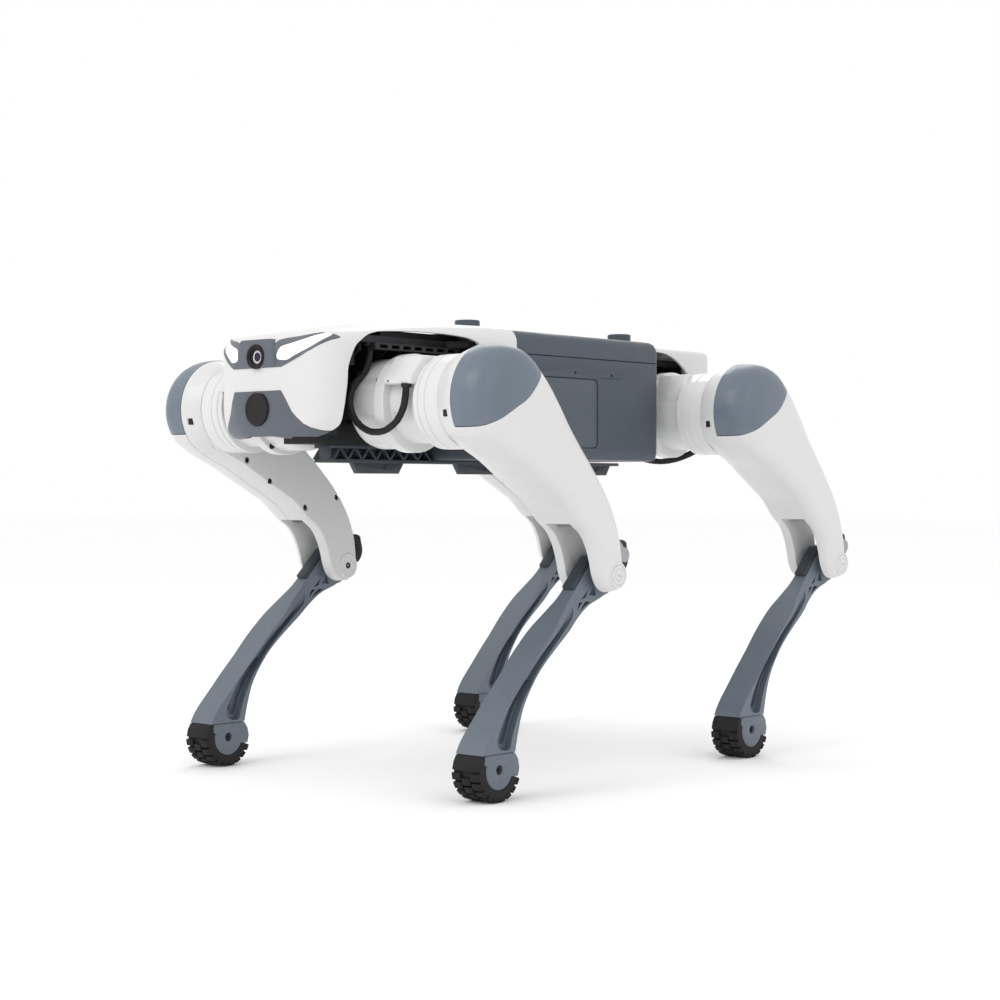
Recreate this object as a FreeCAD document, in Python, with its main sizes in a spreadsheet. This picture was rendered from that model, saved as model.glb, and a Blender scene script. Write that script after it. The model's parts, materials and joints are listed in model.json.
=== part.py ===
import FreeCAD, Part
import math
import os
import re
import Sketcher

# Quadruped robot dog, in millimetres. +X is forward, +Y its left, +Z up.
# The origin is on the ground under the middle of the standing robot.

V = FreeCAD.Vector
doc = FreeCAD.newDocument("quadruped")

# ---------------------------------------------------------------- driving dimensions
SIZES = {
    "hip_front_x": 227,  # hip pitch axes, front and rear
    "hip_rear_x": -163,
    "hip_height": 350.3,
    "leg_plane_y": 177.3,  # middle plane of a leg
    "abduction_y": 71,  # roll axis of a hip
    "knee_dx": -151.8,  # knee axis from the hip pitch axis
    "knee_dz": -156.7,
    "foot_dx": 2.4,  # foot centre from the hip pitch axis
    "foot_dz": -321.8,
    "foot_radius": 28.5,
    "foot_hub_radius": 18,
    "crank_dx": -27,  # crank pivot from the hip axis, lever pivot from the knee
    "crank_dz": 17.7,
    "shaft_radius": 12,
    "collar_radius": 19,
    "knee_pin_radius": 6,
    "link_pin_radius": 4,
    "running_gap": 0.05,
    "fork_half": 26.2,  # half width of the thigh's fork, outside and inside
    "fork_gap_half": 15,
    "calf_plate_half": 7.3,
    "calf_wide_half": 15.6,
    "head_radius": 49.7,
    "seam_y": -21.1,  # thigh's inner face, from the leg plane
    "cap_crown_y": 40,
    "can_radius": 41,
    "flange_radius": 44.6,
    "neck_radius": 36.5,
    "ring_radius": 42.3,
    "shell_wall": 3,
    "box_front_x": 122,
    "box_rear_x": -116.5,
    "box_half": 110,
    "box_bottom_z": 301,
    "lid_line_z": 400.5,
    "box_top_z": 423,
    "deck_bottom_z": 405,
    "deck_top_z": 411,
    "belly_half": 14,
    "skid_half": 3,
    "belly_top_z": 314,
    "belly_bottom_z": 297.5,
    "skid_bottom_z": 287.6,
    "motor_length": 40,
    "motor_radius": 33.5,
    "front_motor_x": 131,  # rear face of the front roll motors
    "rear_motor_x": -107,  # rear face of the rear roll motors
    "post_front_x": 126.5,
    "post_rear_x": -108.5,
    "post_y": 62,
    "post_radius": 12,
    "post_top_z": 433,
    "post_thread_radius": 2.5,
    "cable_diameter": 6.4,
    "tail_x": -259,
    "datum_x": 8,  # the trunk's own datum, ahead of the origin
}
sheet = doc.addObject("Spreadsheet::Sheet", "sizes")
for row, (alias, size) in enumerate(SIZES.items(), start=1):
    sheet.set(f"A{row}", alias)
    sheet.set(f"B{row}", str(size))
    sheet.setAlias(f"B{row}", alias)
doc.recompute()


# ---------------------------------------------------------------- small helpers
def qualify(text):
    """The expression with the sheet's name before each alias."""
    return re.sub(r"[a-z]+(?:_[a-z]+)+", lambda found: "sizes." + found.group(0), str(text))


def value(text):
    """The number that a size or an expression of sizes stands for."""
    if isinstance(text, str):
        return float(sheet.evalExpression(qualify(text)))
    return float(text)


def bind(thing, where, text):
    """Sets a property from a number, or ties it to the sheet."""
    if isinstance(text, str):
        thing.setExpression(where, qualify(text))
    elif "." not in where:
        setattr(thing, where, text)
    else:
        thing.setExpression(where, repr(float(text)))


def place(thing, x=0, y=0, z=0):
    """Puts a piece at a point that the sheet gives."""
    for axis, text in zip("xyz", (x, y, z)):
        if text:
            bind(thing, f".Placement.Base.{axis}", text)
    return thing


def new_body(name):
    body = doc.addObject("PartDesign::Body", name)
    body.Label = name
    return body


def difference(high, low):
    if isinstance(high, str) or isinstance(low, str):
        return f"({high}) - ({low})"
    return high - low


def negative(text):
    return f"-({text})" if isinstance(text, str) else -text


def trace(sketch, outline):
    """Draws a closed outline of (across, up) points.

    An entry ("arc", middle) bends the line to the next point.
    """
    corners = [p for p in outline if p[0] != "arc"]
    middles = {}
    for index, entry in enumerate(outline):
        if entry[0] == "arc":
            middles[sum(1 for p in outline[:index] if p[0] != "arc")] = entry[1]
    points = [V(value(a), value(b), 0) for a, b in corners]
    count = len(points)
    for index in range(count):
        start, end = points[index], points[(index + 1) % count]
        middle = middles.get(index + 1)
        if middle:
            edge = Part.Arc(start, V(value(middle[0]), value(middle[1]), 0), end)
        else:
            edge = Part.LineSegment(start, end)
        sketch.addGeometry(edge, False)
    return sketch


def ends(sketch, index, start, end):
    """Which end of an edge is its start: an arc may be stored the other way round."""
    edge = sketch.Geometry[index]
    return (1, 2) if (edge.StartPoint - start).Length < (edge.EndPoint - start).Length else (2, 1)


def fasten(sketch, outline):
    """Joins the outline's edges and ties its corners to the sketch's origin."""
    corners = [p for p in outline if p[0] != "arc"]
    points = [V(value(a), value(b), 0) for a, b in corners]
    count = len(points)
    sides = [ends(sketch, i, points[i], points[(i + 1) % count]) for i in range(count)]
    for index in range(count):
        after = (index + 1) % count
        join = Sketcher.Constraint("Coincident", index, sides[index][1], after, sides[after][0])
        sketch.addConstraint(join)
    for index, corner in enumerate(corners):
        for kind, text, size in zip(("DistanceX", "DistanceY"), corner, points[index][:2]):
            rule = Sketcher.Constraint(kind, -1, 1, index, sides[index][0], size)
            number = sketch.addConstraint(rule)
            if isinstance(text, str):
                sketch.setExpression(f"Constraints[{number}]", qualify(text))


PLANES = {"X": "YZ_Plane", "Y": "XZ_Plane", "Z": "XY_Plane"}


def new_sketch(body, plane, outline, offset=0):
    """A closed sketch on one of the body's own planes, offset along the plane's normal."""
    sketch = body.newObject("Sketcher::SketchObject", body.Name + "_outline")
    support = [f for f in body.Origin.OriginFeatures if f.Role == plane][0]
    sketch.AttachmentSupport = [(support, "")]
    sketch.MapMode = "FlatFace"
    bind(sketch, ".AttachmentOffset.Base.z", offset)
    trace(sketch, outline)
    fasten(sketch, outline)
    return sketch


def prism(body, axis, outline, low, high, cut=False):
    """Pads or pockets an outline along an axis from low to high."""
    if axis == "Y":
        start = negative(low if cut else high)
    else:
        start = high if cut else low
    kind = "Pocket" if cut else "Pad"
    feature = body.newObject(f"PartDesign::{kind}", body.Name + "_" + kind.lower())
    feature.Profile = new_sketch(body, PLANES[axis], outline, start)
    bind(feature, "Length", difference(high, low))
    body.Tip = feature
    return feature


def turned(body, profile, cut=False):
    """Turns a profile of (radius, y) points about the body's Y axis."""
    kind = "Groove" if cut else "Revolution"
    sketch = new_sketch(body, "XY_Plane", profile)
    feature = body.newObject(f"PartDesign::{kind}", body.Name + "_" + kind.lower())
    feature.Profile = sketch
    feature.ReferenceAxis = (sketch, ["V_Axis"])
    feature.Angle = 360
    body.Tip = feature
    return feature


TURNS = {
    "X": FreeCAD.Rotation(V(0, 1, 0), 90),
    "Y": FreeCAD.Rotation(V(1, 0, 0), -90),
    "Z": FreeCAD.Rotation(),
}


def rod(body, axis, radius, low, high, across, up, cut=False):
    """A cylinder along an axis; across and up are its place on the other two axes, in X, Y, Z order."""
    kind = "SubtractiveCylinder" if cut else "AdditiveCylinder"
    feature = body.newObject(f"PartDesign::{kind}", body.Name + "_rod")
    feature.Placement = FreeCAD.Placement(V(0, 0, 0), TURNS[axis])
    bind(feature, "Radius", radius)
    bind(feature, "Height", difference(high, low))
    spot = {"X": (low, across, up), "Y": (across, low, up), "Z": (across, up, low)}[axis]
    place(feature, *spot)
    body.Tip = feature
    return feature


def block(body, low, high, cut=False):
    """A box between two corners."""
    kind = "SubtractiveBox" if cut else "AdditiveBox"
    feature = body.newObject(f"PartDesign::{kind}", body.Name + "_block")
    for side, start, end in zip(("Length", "Width", "Height"), low, high):
        bind(feature, side, difference(end, start))
    place(feature, *low)
    body.Tip = feature
    return feature


def rounded(body, radius, wanted):
    """Fillets the tip's edges for which wanted(edge) is true."""
    doc.recompute()
    base = body.Tip
    names = [f"Edge{i}" for i, e in enumerate(base.Shape.Edges, start=1) if wanted(e)]
    feature = body.newObject("PartDesign::Fillet", body.Name + "_fillet")
    feature.Base = (base, names)
    feature.Radius = radius
    body.Tip = feature
    return feature


def lies_along(axis):
    """Picks straight edges along an axis."""

    def wanted(edge):
        if len(edge.Vertexes) < 2 or edge.Curve.TypeId != "Part::GeomLine":
            return False
        way = edge.Vertexes[1].Point - edge.Vertexes[0].Point
        return abs(way.normalize().dot(axis)) > 0.999

    return wanted


def box_outline(low, high):
    return [(low[0], low[1]), (high[0], low[1]), (high[0], high[1]), (low[0], high[1])]


def bar_outline(p, q, half):
    """A round-ended bar about the line from p to q."""
    along = (V(q[0], q[1], 0) - V(p[0], p[1], 0)).normalize()
    side = V(-along.y, along.x, 0) * half
    tip = along * half
    return [
        (p[0] + side.x, p[1] + side.y),
        ("arc", (p[0] - tip.x, p[1] - tip.y)),
        (p[0] - side.x, p[1] - side.y),
        (q[0] - side.x, q[1] - side.y),
        ("arc", (q[0] + tip.x, q[1] + tip.y)),
        (q[0] + side.x, q[1] + side.y),
    ]


def mirrored(name, left):
    """The same piece on the robot's right side."""
    piece = doc.addObject("Part::Mirroring", name)
    piece.Label = name
    piece.Source = left
    piece.Normal = V(0, 1, 0)
    piece.Base = V(0, 0, 0)
    return piece


subparts = []


def keep(*pieces):
    subparts.extend(pieces)


# ---------------------------------------------------------------- shared outlines (x, z from the hip axis)
KNEE = (value("knee_dx"), value("knee_dz"))
CRANK = (value("crank_dx"), value("crank_dz"))
LEVER = (KNEE[0] + CRANK[0], KNEE[1] + CRANK[1])
THIGH = [
    (-44, 22),
    (-78.7, -16.5),
    (-110, -47.3),
    (-137, -76),
    (-153, -100),
    (-162.7, -122.7),
    (-165.4, -143.5),
    (-164, -160),
    ("arc", (-150, -172.5)),
    (-133, -169),
    (-124, -158),
    (-120, -140),
    (-101, -109),
    (-82, -106),
    (-74.8, -90.7),
    (-44.7, -76.9),
    (-12, -58),
    (20, -45),
    (30, 0),
]
FORK_GAP = [(-60, -109), (-125, -109), (-150, -97), (-215, -97), (-215, -200), (-60, -200)]
LINK_CHANNEL = [
    (-8, 32),
    (-40, 12),
    (-105, -54),
    (-150, -98.5),
    (-150, -112),
    (-114, -112),
    (-20, -14),
    (0, 0),
]
CAP_EDGE = [(-70, 62), (-18.4, 11.4), (-4.8, -0.4), (17.5, -12.2), (33.5, -20.8), (60, -24)]
DOME = [
    ("head_radius - 0.5", 0.15),
    ("head_radius", 8),
    ("head_radius - 0.7", 18),
    ("arc", (43, 31)),
    (32, 37.5),
    ("arc", (17, 39.6)),
    (0, "cap_crown_y"),
]
DOME_INSIDE = [(45.5, 0.1), (46.5, 8), (45.5, 18), ("arc", (40, 28.5)), (30, 34.3), (0, 36.6)]


# ---------------------------------------------------------------- hip
def hip_housing(corner, face):
    """The housing that swings sideways. face is +1 where its cable side looks forward."""
    body = new_body(corner + "_hip_housing")
    profile = [
        (0, -139.3),
        (28, -139.3),
        ("arc", (37.2, -135.5)),
        ("can_radius", -126.3),
        ("can_radius", -97.3),
        ("flange_radius", -97.3),
        ("flange_radius", -85.3),
        ("neck_radius", -85.3),
        ("neck_radius", -51.3),
        ("ring_radius", -51.3),
        ("ring_radius", "seam_y - 0.5"),
        (0, "seam_y - 0.5"),
    ]
    turned(body, profile)
    lip = [(44.5, 15), (44.5, 20), (24, 41), (-24, 41), (-34, 20), (-34, 8), (20, 8), (34, 15)]
    prism(body, "Y", [(face * x, z) for x, z in lip], -85.3, -51.3)
    roll_y = "abduction_y - leg_plane_y"
    if face > 0:
        rod(body, "X", "collar_radius", -54.5, -12, roll_y, 0)
        rod(body, "X", "shaft_radius", -68, -54.5, roll_y, 0)
    else:
        rod(body, "X", "collar_radius", 12, 54.5, roll_y, 0)
        rod(body, "X", "shaft_radius", 54.5, 68, roll_y, 0)
    rod(body, "Y", 34, -84, "seam_y - 0.5", 0, 0, cut=True)
    return body


def hip_motor(corner):
    """The hip pitch actuator, with the stub that the thigh turns on."""
    body = new_body(corner + "_hip_motor")
    rod(body, "Y", 33.8, -84, -27, 0, 0)
    rod(body, "Y", 24, -27, -24, 0, 0)
    rod(body, "Y", "shaft_radius", -24, -8, 0, 0)
    return body


# ---------------------------------------------------------------- thigh
def thigh_inner(corner):
    """The half of the thigh's shell that faces the trunk."""
    body = new_body(corner + "_thigh_inner")
    prism(body, "Y", THIGH, "-fork_half", -0.15)
    turned(
        body,
        [
            (0, "seam_y"),
            ("ring_radius", "seam_y"),
            ("ring_radius + 5", -12),
            ("head_radius - 0.5", -0.15),
            (0, -0.15),
        ],
    )
    turned(body, [(0, -30), (45, -30), (45, "seam_y"), (0, "seam_y")], cut=True)
    rod(body, "Y", 43, -17, -0.15, 0, 0, cut=True)
    prism(body, "Y", LINK_CHANNEL, -17, -0.15, cut=True)
    prism(body, "Y", FORK_GAP, "-fork_gap_half", -0.15, cut=True)
    rod(body, "Y", 19, -18, -7, 0, 0)
    rod(body, "Y", "shaft_radius + running_gap", -22, -6, 0, 0, cut=True)
    rod(body, "Y", "knee_pin_radius + running_gap", -24.6, -14, *KNEE, cut=True)
    return body


def thigh_outer(corner):
    """The outer half of the thigh's shell, cut away under the cap."""
    body = new_body(corner + "_thigh_outer")
    prism(body, "Y", THIGH, 0.15, "fork_half")
    turned(body, DOME + [(0, 0.15)])
    prism(body, "Y", CAP_EDGE + [(60, 70), (-70, 70)], 0, 45, cut=True)
    turned(body, DOME_INSIDE + [(0, 0.1)], cut=True)
    prism(body, "Y", LINK_CHANNEL, 0.1, 17, cut=True)
    prism(body, "Y", FORK_GAP, 0.1, "fork_gap_half", cut=True)
    rod(body, "Y", "knee_pin_radius + running_gap", 14, 24.6, *KNEE, cut=True)
    return body


def hip_cap(corner):
    """The domed cap over the knee actuator."""
    body = new_body(corner + "_hip_cap")
    turned(body, DOME + [(0, 0.15)])
    prism(body, "Y", [(-70, -70)] + CAP_EDGE + [(60, -70)], 0, 45, cut=True)
    turned(body, DOME_INSIDE + [(0, 0.1)], cut=True)
    return body


def knee_motor(corner):
    """The knee actuator in the thigh's head."""
    body = new_body(corner + "_knee_motor")
    rod(body, "Y", 35, 15, 30, 0, 0)
    rod(body, "Y", 24, 30, 32, 0, 0)
    rod(body, "Y", "8 + running_gap", 14, 24, 0, 0, cut=True)
    return body


def knee_crank(corner):
    """The crank on the knee actuator."""
    body = new_body(corner + "_knee_crank")
    prism(body, "Y", bar_outline((0, 0), CRANK, 9), 1.5, 7.3)
    rod(body, "Y", 13, 1.5, 7.3, 0, 0)
    rod(body, "Y", 8, 7.3, 23, 0, 0)
    rod(body, "Y", "link_pin_radius + running_gap", 1, 8, "crank_dx", "crank_dz", cut=True)
    return body


def knee_rod(corner):
    """The push rod, with a pin at each end."""
    body = new_body(corner + "_knee_rod")
    prism(body, "Y", bar_outline(CRANK, LEVER, 4), 7.6, 13)
    for x, z in (CRANK, LEVER):
        rod(body, "Y", 7, 7.6, 13, x, z)
        rod(body, "Y", "link_pin_radius", 2, 7.6, x, z)
    return body


# ---------------------------------------------------------------- calf and foot
def calf(corner):
    """The lower leg, with its trunnions, its lever and the hub of the foot."""
    body = new_body(corner + "_calf")
    plate = [
        (-142, -139.5),
        (-124, -155),
        (-105, -174),
        (-80, -197),
        (-100, -203),
        (-117, -192),
        (-142, -181.5),
        (-160, -174.5),
        (-170, -160),
    ]
    prism(body, "Y", plate, "-calf_plate_half", "calf_plate_half")
    rod(body, "Y", 19.5, "-calf_plate_half", "calf_plate_half", *KNEE)
    rod(body, "Y", 15.2, "-calf_plate_half", "calf_plate_half", *LEVER)
    lower = [
        (-96, -183),
        (-72, -205),
        (-50, -225),
        (-31, -246),
        (-14, -262),
        (4, -281),
        (18, -296),
        (24.5, -307.7),
        (-5.2, -307.7),
        (-12.2, -317.7),
        (-18, -317.7),
        (-19.3, -302),
        (-23.8, -285),
        (-30.5, -268),
        (-39.5, -254),
        (-55.5, -236),
        (-74, -221),
        (-93, -207),
        (-112, -195),
    ]
    prism(body, "Y", lower, "-calf_wide_half", "calf_wide_half")
    rod(body, "Y", "foot_hub_radius", "-calf_wide_half", "calf_wide_half", "foot_dx", "foot_dz")
    side_pocket = [
        (-90, -196),
        (-48.6, -229.5),
        (-20, -257.5),
        (2, -290),
        (4, -300),
        (-12, -304),
        (-21, -279),
        (-48.6, -238.5),
        (-84, -207),
    ]
    prism(body, "Y", side_pocket, 6, "calf_wide_half", cut=True)
    prism(body, "Y", side_pocket, "-calf_wide_half", -6, cut=True)
    slot = bar_outline((-6, -285), (-3, -297), 3.4)
    prism(body, "Y", slot, -8, 8, cut=True)
    rod(body, "Y", 12, -14.6, 14.6, *KNEE)
    rod(body, "Y", "knee_pin_radius", -24.3, 24.3, *KNEE)
    rod(body, "Y", "link_pin_radius + running_gap", -8, 8, *LEVER, cut=True)
    return body


def foot(corner):
    """The rubber tread that wraps the front, underside and back of the foot's hub."""
    body = new_body(corner + "_foot")
    side = ("-calf_wide_half", "calf_wide_half")
    rod(body, "Y", "foot_radius", *side, "foot_dx", "foot_dz")
    rod(body, "Y", "foot_hub_radius", -20, 20, "foot_dx", "foot_dz", cut=True)
    top = [(-40, -317.7), (-12.2, -317.7), (-5.2, -307.7), (40, -307.7), (40, -280), (-40, -280)]
    prism(body, "Y", top, -20, 20, cut=True)
    return body


# ---------------------------------------------------------------- cables
FRONT_CABLE = [
    (257, 62, 402),
    (257, 62, 390.9),
    (261.5, 59.8, 377.4),
    (271.1, 55.6, 367.3),
    (276.2, 54.6, 353.7),
    (276.8, 58.5, 339.7),
    (275.5, 67.9, 328.7),
    (274.1, 81.1, 323.1),
    (272.7, 95.5, 323.9),
    (271.3, 108, 331),
    (269.9, 116, 342.9),
    (268.6, 118, 357.1),
    (268.6, 118, 365.3),
]
REAR_CABLE = [
    (-120, 62, 308),
    (-135.8, 62, 308),
    (-151.3, 63, 304.2),
    (-167.2, 65.1, 302.1),
    (-183, 68.8, 302.4),
    (-197.7, 74.5, 305.6),
    (-208.3, 84.7, 312),
    (-212.9, 97.3, 320.2),
    (-211.3, 109.2, 330.2),
    (-206.4, 116.3, 343.1),
    (-204, 118, 358.3),
    (-204, 118, 365.3),
]


def cable_path(name, route):
    """Straight runs joined by arcs, each as large as its two runs allow."""
    points = [V(*p) for p in route]
    runs = [(b - a).Length for a, b in zip(points, points[1:])]
    edges = []
    radii = []
    last = points[0]
    for index in range(1, len(points) - 1):
        into = (points[index] - points[index - 1]).normalize()
        away = (points[index + 1] - points[index]).normalize()
        turn = math.acos(max(-1.0, min(1.0, into.dot(away))))
        reach = 0.45 * min(runs[index - 1], runs[index])
        radius = reach / math.tan(turn / 2)
        radii.append(round(radius, 1))
        start = points[index] - into * reach
        end = points[index] + away * reach
        inward = (away - into).normalize()
        middle = points[index] + inward * (radius / math.cos(turn / 2) - radius)
        edges.append(Part.LineSegment(last, start).toShape())
        edges.append(Part.Arc(start, middle, end).toShape())
        last = end
    edges.append(Part.LineSegment(last, points[-1]).toShape())
    path = Part.Wire(edges)
    print(name, "bend radii", radii, "length", round(path.Length, 1))
    return path


def hip_cable(corner, route):
    """The cable from the trunk into the hip housing."""
    radius = value("cable_diameter / 2")
    path = cable_path(corner + "_hip_cable", route)
    start = V(*route[0])
    ring = Part.Wire([Part.Circle(start, V(*route[1]) - start, radius).toShape()])
    tube = path.makePipeShell([ring], True, True)
    expected = math.pi * radius**2 * path.Length
    if abs(tube.Volume - expected) > 0.01 * expected:
        raise RuntimeError(f"{corner} cable tube has the wrong volume")
    piece = doc.addObject("Part::Feature", corner + "_hip_cable")
    piece.Label = corner + "_hip_cable"
    piece.Shape = tube
    return piece


# ---------------------------------------------------------------- legs
def leg(end, hip_x, face, route):
    """Both legs of one end: the left one is built, the right one mirrors it."""
    left, right = end + "_left", end + "_right"
    pieces = [
        hip_housing(left, face),
        hip_motor(left),
        thigh_inner(left),
        thigh_outer(left),
        hip_cap(left),
        knee_motor(left),
        knee_crank(left),
        knee_rod(left),
        calf(left),
        foot(left),
    ]
    for piece in pieces:
        place(piece, f"{hip_x} + datum_x", "leg_plane_y", "hip_height")
    cable = hip_cable(left, route)
    place(cable, "datum_x")
    pieces.append(cable)
    keep(*pieces)
    for piece in pieces:
        keep(mirrored(piece.Label.replace(left, right), piece))


leg("front", "hip_front_x", 1, FRONT_CABLE)
leg("rear", "hip_rear_x", -1, REAR_CABLE)


# ---------------------------------------------------------------- trunk frame
def trunk_chassis():
    """Deck, spine, bulkheads and the glands that the hip cables leave by."""
    body = new_body("trunk_chassis")
    deck = [
        (-236, -52),
        (-128, -52),
        (-118, -80),
        (146, -80),
        (160, -66),
        (262, -68),
        (290, -50),
        (290, 50),
        (262, 68),
        (160, 66),
        (146, 80),
        (-118, 80),
        (-128, 52),
        (-236, 52),
    ]
    prism(body, "Z", deck, "deck_bottom_z", "deck_top_z")
    for left, right in ((-220, -132), (-60, -10), (10, 60), (180, 248)):
        for y in (-34, 34):
            slot = box_outline((left, y - 10), (right, y + 10))
            prism(body, "Z", slot, "deck_bottom_z - 1", "deck_top_z + 1", cut=True)
    block(body, ("box_front_x + 1", -16, "belly_top_z"), (290, 16, "deck_bottom_z"))
    block(body, (-236, -16, 318), ("box_rear_x - 3.3", 16, "deck_bottom_z"))
    block(body, (286, -50, 322), (290, 50, "deck_bottom_z"))
    block(body, ("box_front_x + 1", -104, "belly_top_z"), ("front_motor_x", 104, "deck_bottom_z"))
    motor_plate = "rear_motor_x + motor_length"
    block(body, (motor_plate, -104, 306), (motor_plate + " + 6", 104, 400))
    block(body, (motor_plate, -78, 399), (motor_plate + " + 6", 78, "deck_bottom_z"))
    block(body, (-240, -46, 345), (-236, 46, "deck_top_z"))
    for x in (140, 175, 236):
        block(body, (x, -66, "deck_bottom_z - 5"), (x + 4, 66, "deck_bottom_z"))
    for y in (-62, 62):
        rod(body, "Z", 7, 402, "deck_bottom_z + 1", 257, y)
    return body


def abduction_motors():
    """The four roll actuators; each has a bore for the trunnion of its hip housing."""
    body = new_body("abduction_motors")
    for side in (-1, 1):
        y = f"{side} * abduction_y"
        spot = (y, "hip_height")
        rod(body, "X", "motor_radius", "front_motor_x", "front_motor_x + motor_length", *spot)
        rod(body, "X", "motor_radius", "rear_motor_x", "rear_motor_x + motor_length", *spot)
        bore = "shaft_radius + running_gap"
        rod(body, "X", bore, "front_motor_x + 24", "front_motor_x + motor_length + 1", *spot, cut=True)
        rod(body, "X", bore, "rear_motor_x - 1", "rear_motor_x + 16", *spot, cut=True)
    return body


def battery_pack():
    body = new_body("battery_pack")
    block(body, (-56, -88, "box_bottom_z + 4"), (58, 88, 396))
    rounded(body, 5, lies_along(V(1, 0, 0)))
    return body


def computer_board():
    """The computer on its carrier, upright behind the box's front wall."""
    body = new_body("computer_board")
    block(body, (66, -80, 310), (68, 80, 392))
    block(body, (68, -40, 330), (84, 40, 376))
    block(body, (68, 50, 318), (80, 74, 350))
    block(body, (68, -74, 318), (80, -50, 350))
    return body


# ---------------------------------------------------------------- box
def body_box():
    """The grey tub of the middle box."""
    body = new_body("body_box")
    wall = value("shell_wall")
    block(body, ("box_rear_x", "-box_half", "box_bottom_z"), ("box_front_x", "box_half", "lid_line_z"))
    rounded(body, 10, lies_along(V(0, 0, 1)))
    rounded(body, 6, low_edge("box_bottom_z"))
    inner = box_outline(
        (value("box_rear_x") + wall, wall - value("box_half")),
        (value("box_front_x") - wall, value("box_half") - wall),
    )
    prism(body, "Z", inner, "box_bottom_z + shell_wall", "lid_line_z + 1", cut=True)
    for side in (-1, 1):
        roll_y = f"{side} * abduction_y"
        rod(body, "X", 25, "box_rear_x - 1", "box_rear_x + 5", roll_y, "hip_height", cut=True)
        panel = box_outline((-12.9, 312.8), (104, 381))
        low, high = (105, 107.5) if side > 0 else (-107.5, -105)
        prism(body, "Y", panel, low, high)
        recess = (107.5, 111) if side > 0 else (-111, -107.5)
        prism(body, "Y", panel, *recess, cut=True)
        rod(body, "X", 6, "box_rear_x - 3.5", "box_rear_x + 1", f"{side} * 62", 308)
    return body


def low_edge(height):
    """Picks the edges that lie at one height."""

    def wanted(edge):
        box = edge.BoundBox
        return abs(box.ZMin - value(height)) < 0.01 and abs(box.ZMax - value(height)) < 0.01

    return wanted


def body_lid():
    body = new_body("body_lid")
    block(body, ("box_rear_x", "-box_half", "lid_line_z + 0.3"), ("box_front_x", "box_half", "box_top_z"))
    rounded(body, 10, lies_along(V(0, 0, 1)))
    rounded(body, 8, low_edge("box_top_z"))
    inner_low = ("box_rear_x + shell_wall", "-box_half + shell_wall", 400)
    inner_high = ("box_front_x - shell_wall", "box_half - shell_wall", "box_top_z - shell_wall")
    block(body, inner_low, inner_high, cut=True)
    deck_room = "deck_top_z + 0.3"
    block(body, ("box_rear_x - 1", -80.3, 400), ("box_rear_x + 4", 80.3, deck_room), cut=True)
    block(body, ("box_front_x - 4", -80.3, 400), ("box_front_x + 1", 80.3, deck_room), cut=True)
    for x in ("post_front_x", "post_rear_x"):
        for y in ("post_y", "-post_y"):
            rod(body, "Z", "post_radius + 0.2", "deck_top_z", "box_top_z + 1", x, y, cut=True)
    return body


def side_covers():
    """The recessed cover on each side of the box, behind the front legs."""
    body = new_body("side_covers")
    panel = box_outline((-12.4, 313.3), (103.5, 380.5))
    prism(body, "Y", panel, 107.6, 109.6)
    prism(body, "Y", panel, -109.6, -107.6)
    rounded(body, 7, lies_along(V(0, 1, 0)))
    return body


def payload_posts():
    """Four round posts on the deck, each with a threaded hole from above."""
    body = new_body("payload_posts")
    for x in ("post_front_x", "post_rear_x"):
        for y in ("post_y", "-post_y"):
            rod(body, "Z", "post_radius", "deck_top_z", "post_top_z", x, y)
            rod(body, "Z", "post_thread_radius", "post_top_z - 14", "post_top_z + 1", x, y, cut=True)
    return body


# ---------------------------------------------------------------- shells
SHELL_SIDE = [
    (122.3, 120.4),
    (140, 110.5),
    (160, 102.4),
    (180, 96.5),
    (240, 84),
    (300, 74),
    (324.5, 60),
    (336.6, 31),
]
SHELL_SIDE_INSIDE = [
    (119, 118.8),
    (140, 107.1),
    (160, 99.1),
    (180, 93.3),
    (240, 80.8),
    (298.5, 70.8),
    (321.5, 57.5),
    (333.3, 29.5),
]


# The edge between the shell and the nose guard, seen from the front, from the arch to the face.
FACE_EDGE = [
    (76, 323.8),
    (66.3, 324.5),
    (59.4, 327),
    (53, 330.4),
    (45.9, 336.3),
    (41.5, 341.4),
    (37, 348.8),
    (31, 362),
]


def both_sides(side):
    """A closed plan from its left half."""
    return side + [(x, -y) for x, y in reversed(side)]


def front_shell():
    """The white shell, with the canopy's outer corners cut back to clear a raised thigh."""
    body = new_body("front_shell")
    prism(body, "Z", both_sides(SHELL_SIDE), 320, 434)
    above = [
        (100, 440),
        (100, 427),
        (170, 428.5),
        (200, 427.5),
        (240, 422.5),
        (270, 417.5),
        (304, 413.5),
        (328, 407.5),
        (345, 400),
        (345, 440),
    ]
    prism(body, "Y", above, -130, 130, cut=True)
    prism(body, "Z", both_sides(SHELL_SIDE_INSIDE), 319, 412, cut=True)
    arch = [
        (100, 300),
        (100, 397),
        (150, 397),
        (157, 408),
        (169, 412.5),
        (190, 414.5),
        (255, 413.5),
        (274, 408.5),
        (289, 398),
        (296, 382),
        (301, 343),
        (302.6, 331),
        (306, 325.8),
        (290, 300),
    ]
    prism(body, "Y", arch, -130, 130, cut=True)
    face = [(-y, z) for y, z in reversed(FACE_EDGE)]
    prism(body, "X", FACE_EDGE + face + [(-76, 300), (76, 300)], 290, 345, cut=True)
    for side in (-1, 1):
        corner = [(112, 440), (112, 428), (121, 419), (130, 419), (130, 440)]
        prism(body, "X", [(side * y, z) for y, z in corner], 100, 200, cut=True)
    brow = [(-33, 379.4), (33, 379.4), (57, 393.2), (62, 397), (62, 440)]
    brow += [(-62, 440), (-62, 397), (-57, 393.2)]
    prism(body, "X", brow, 316, 340, cut=True)
    for y in ("post_y", "-post_y"):
        rod(body, "Z", "post_radius + 0.2", 405, 440, "post_front_x", y, cut=True)
    return body


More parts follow.
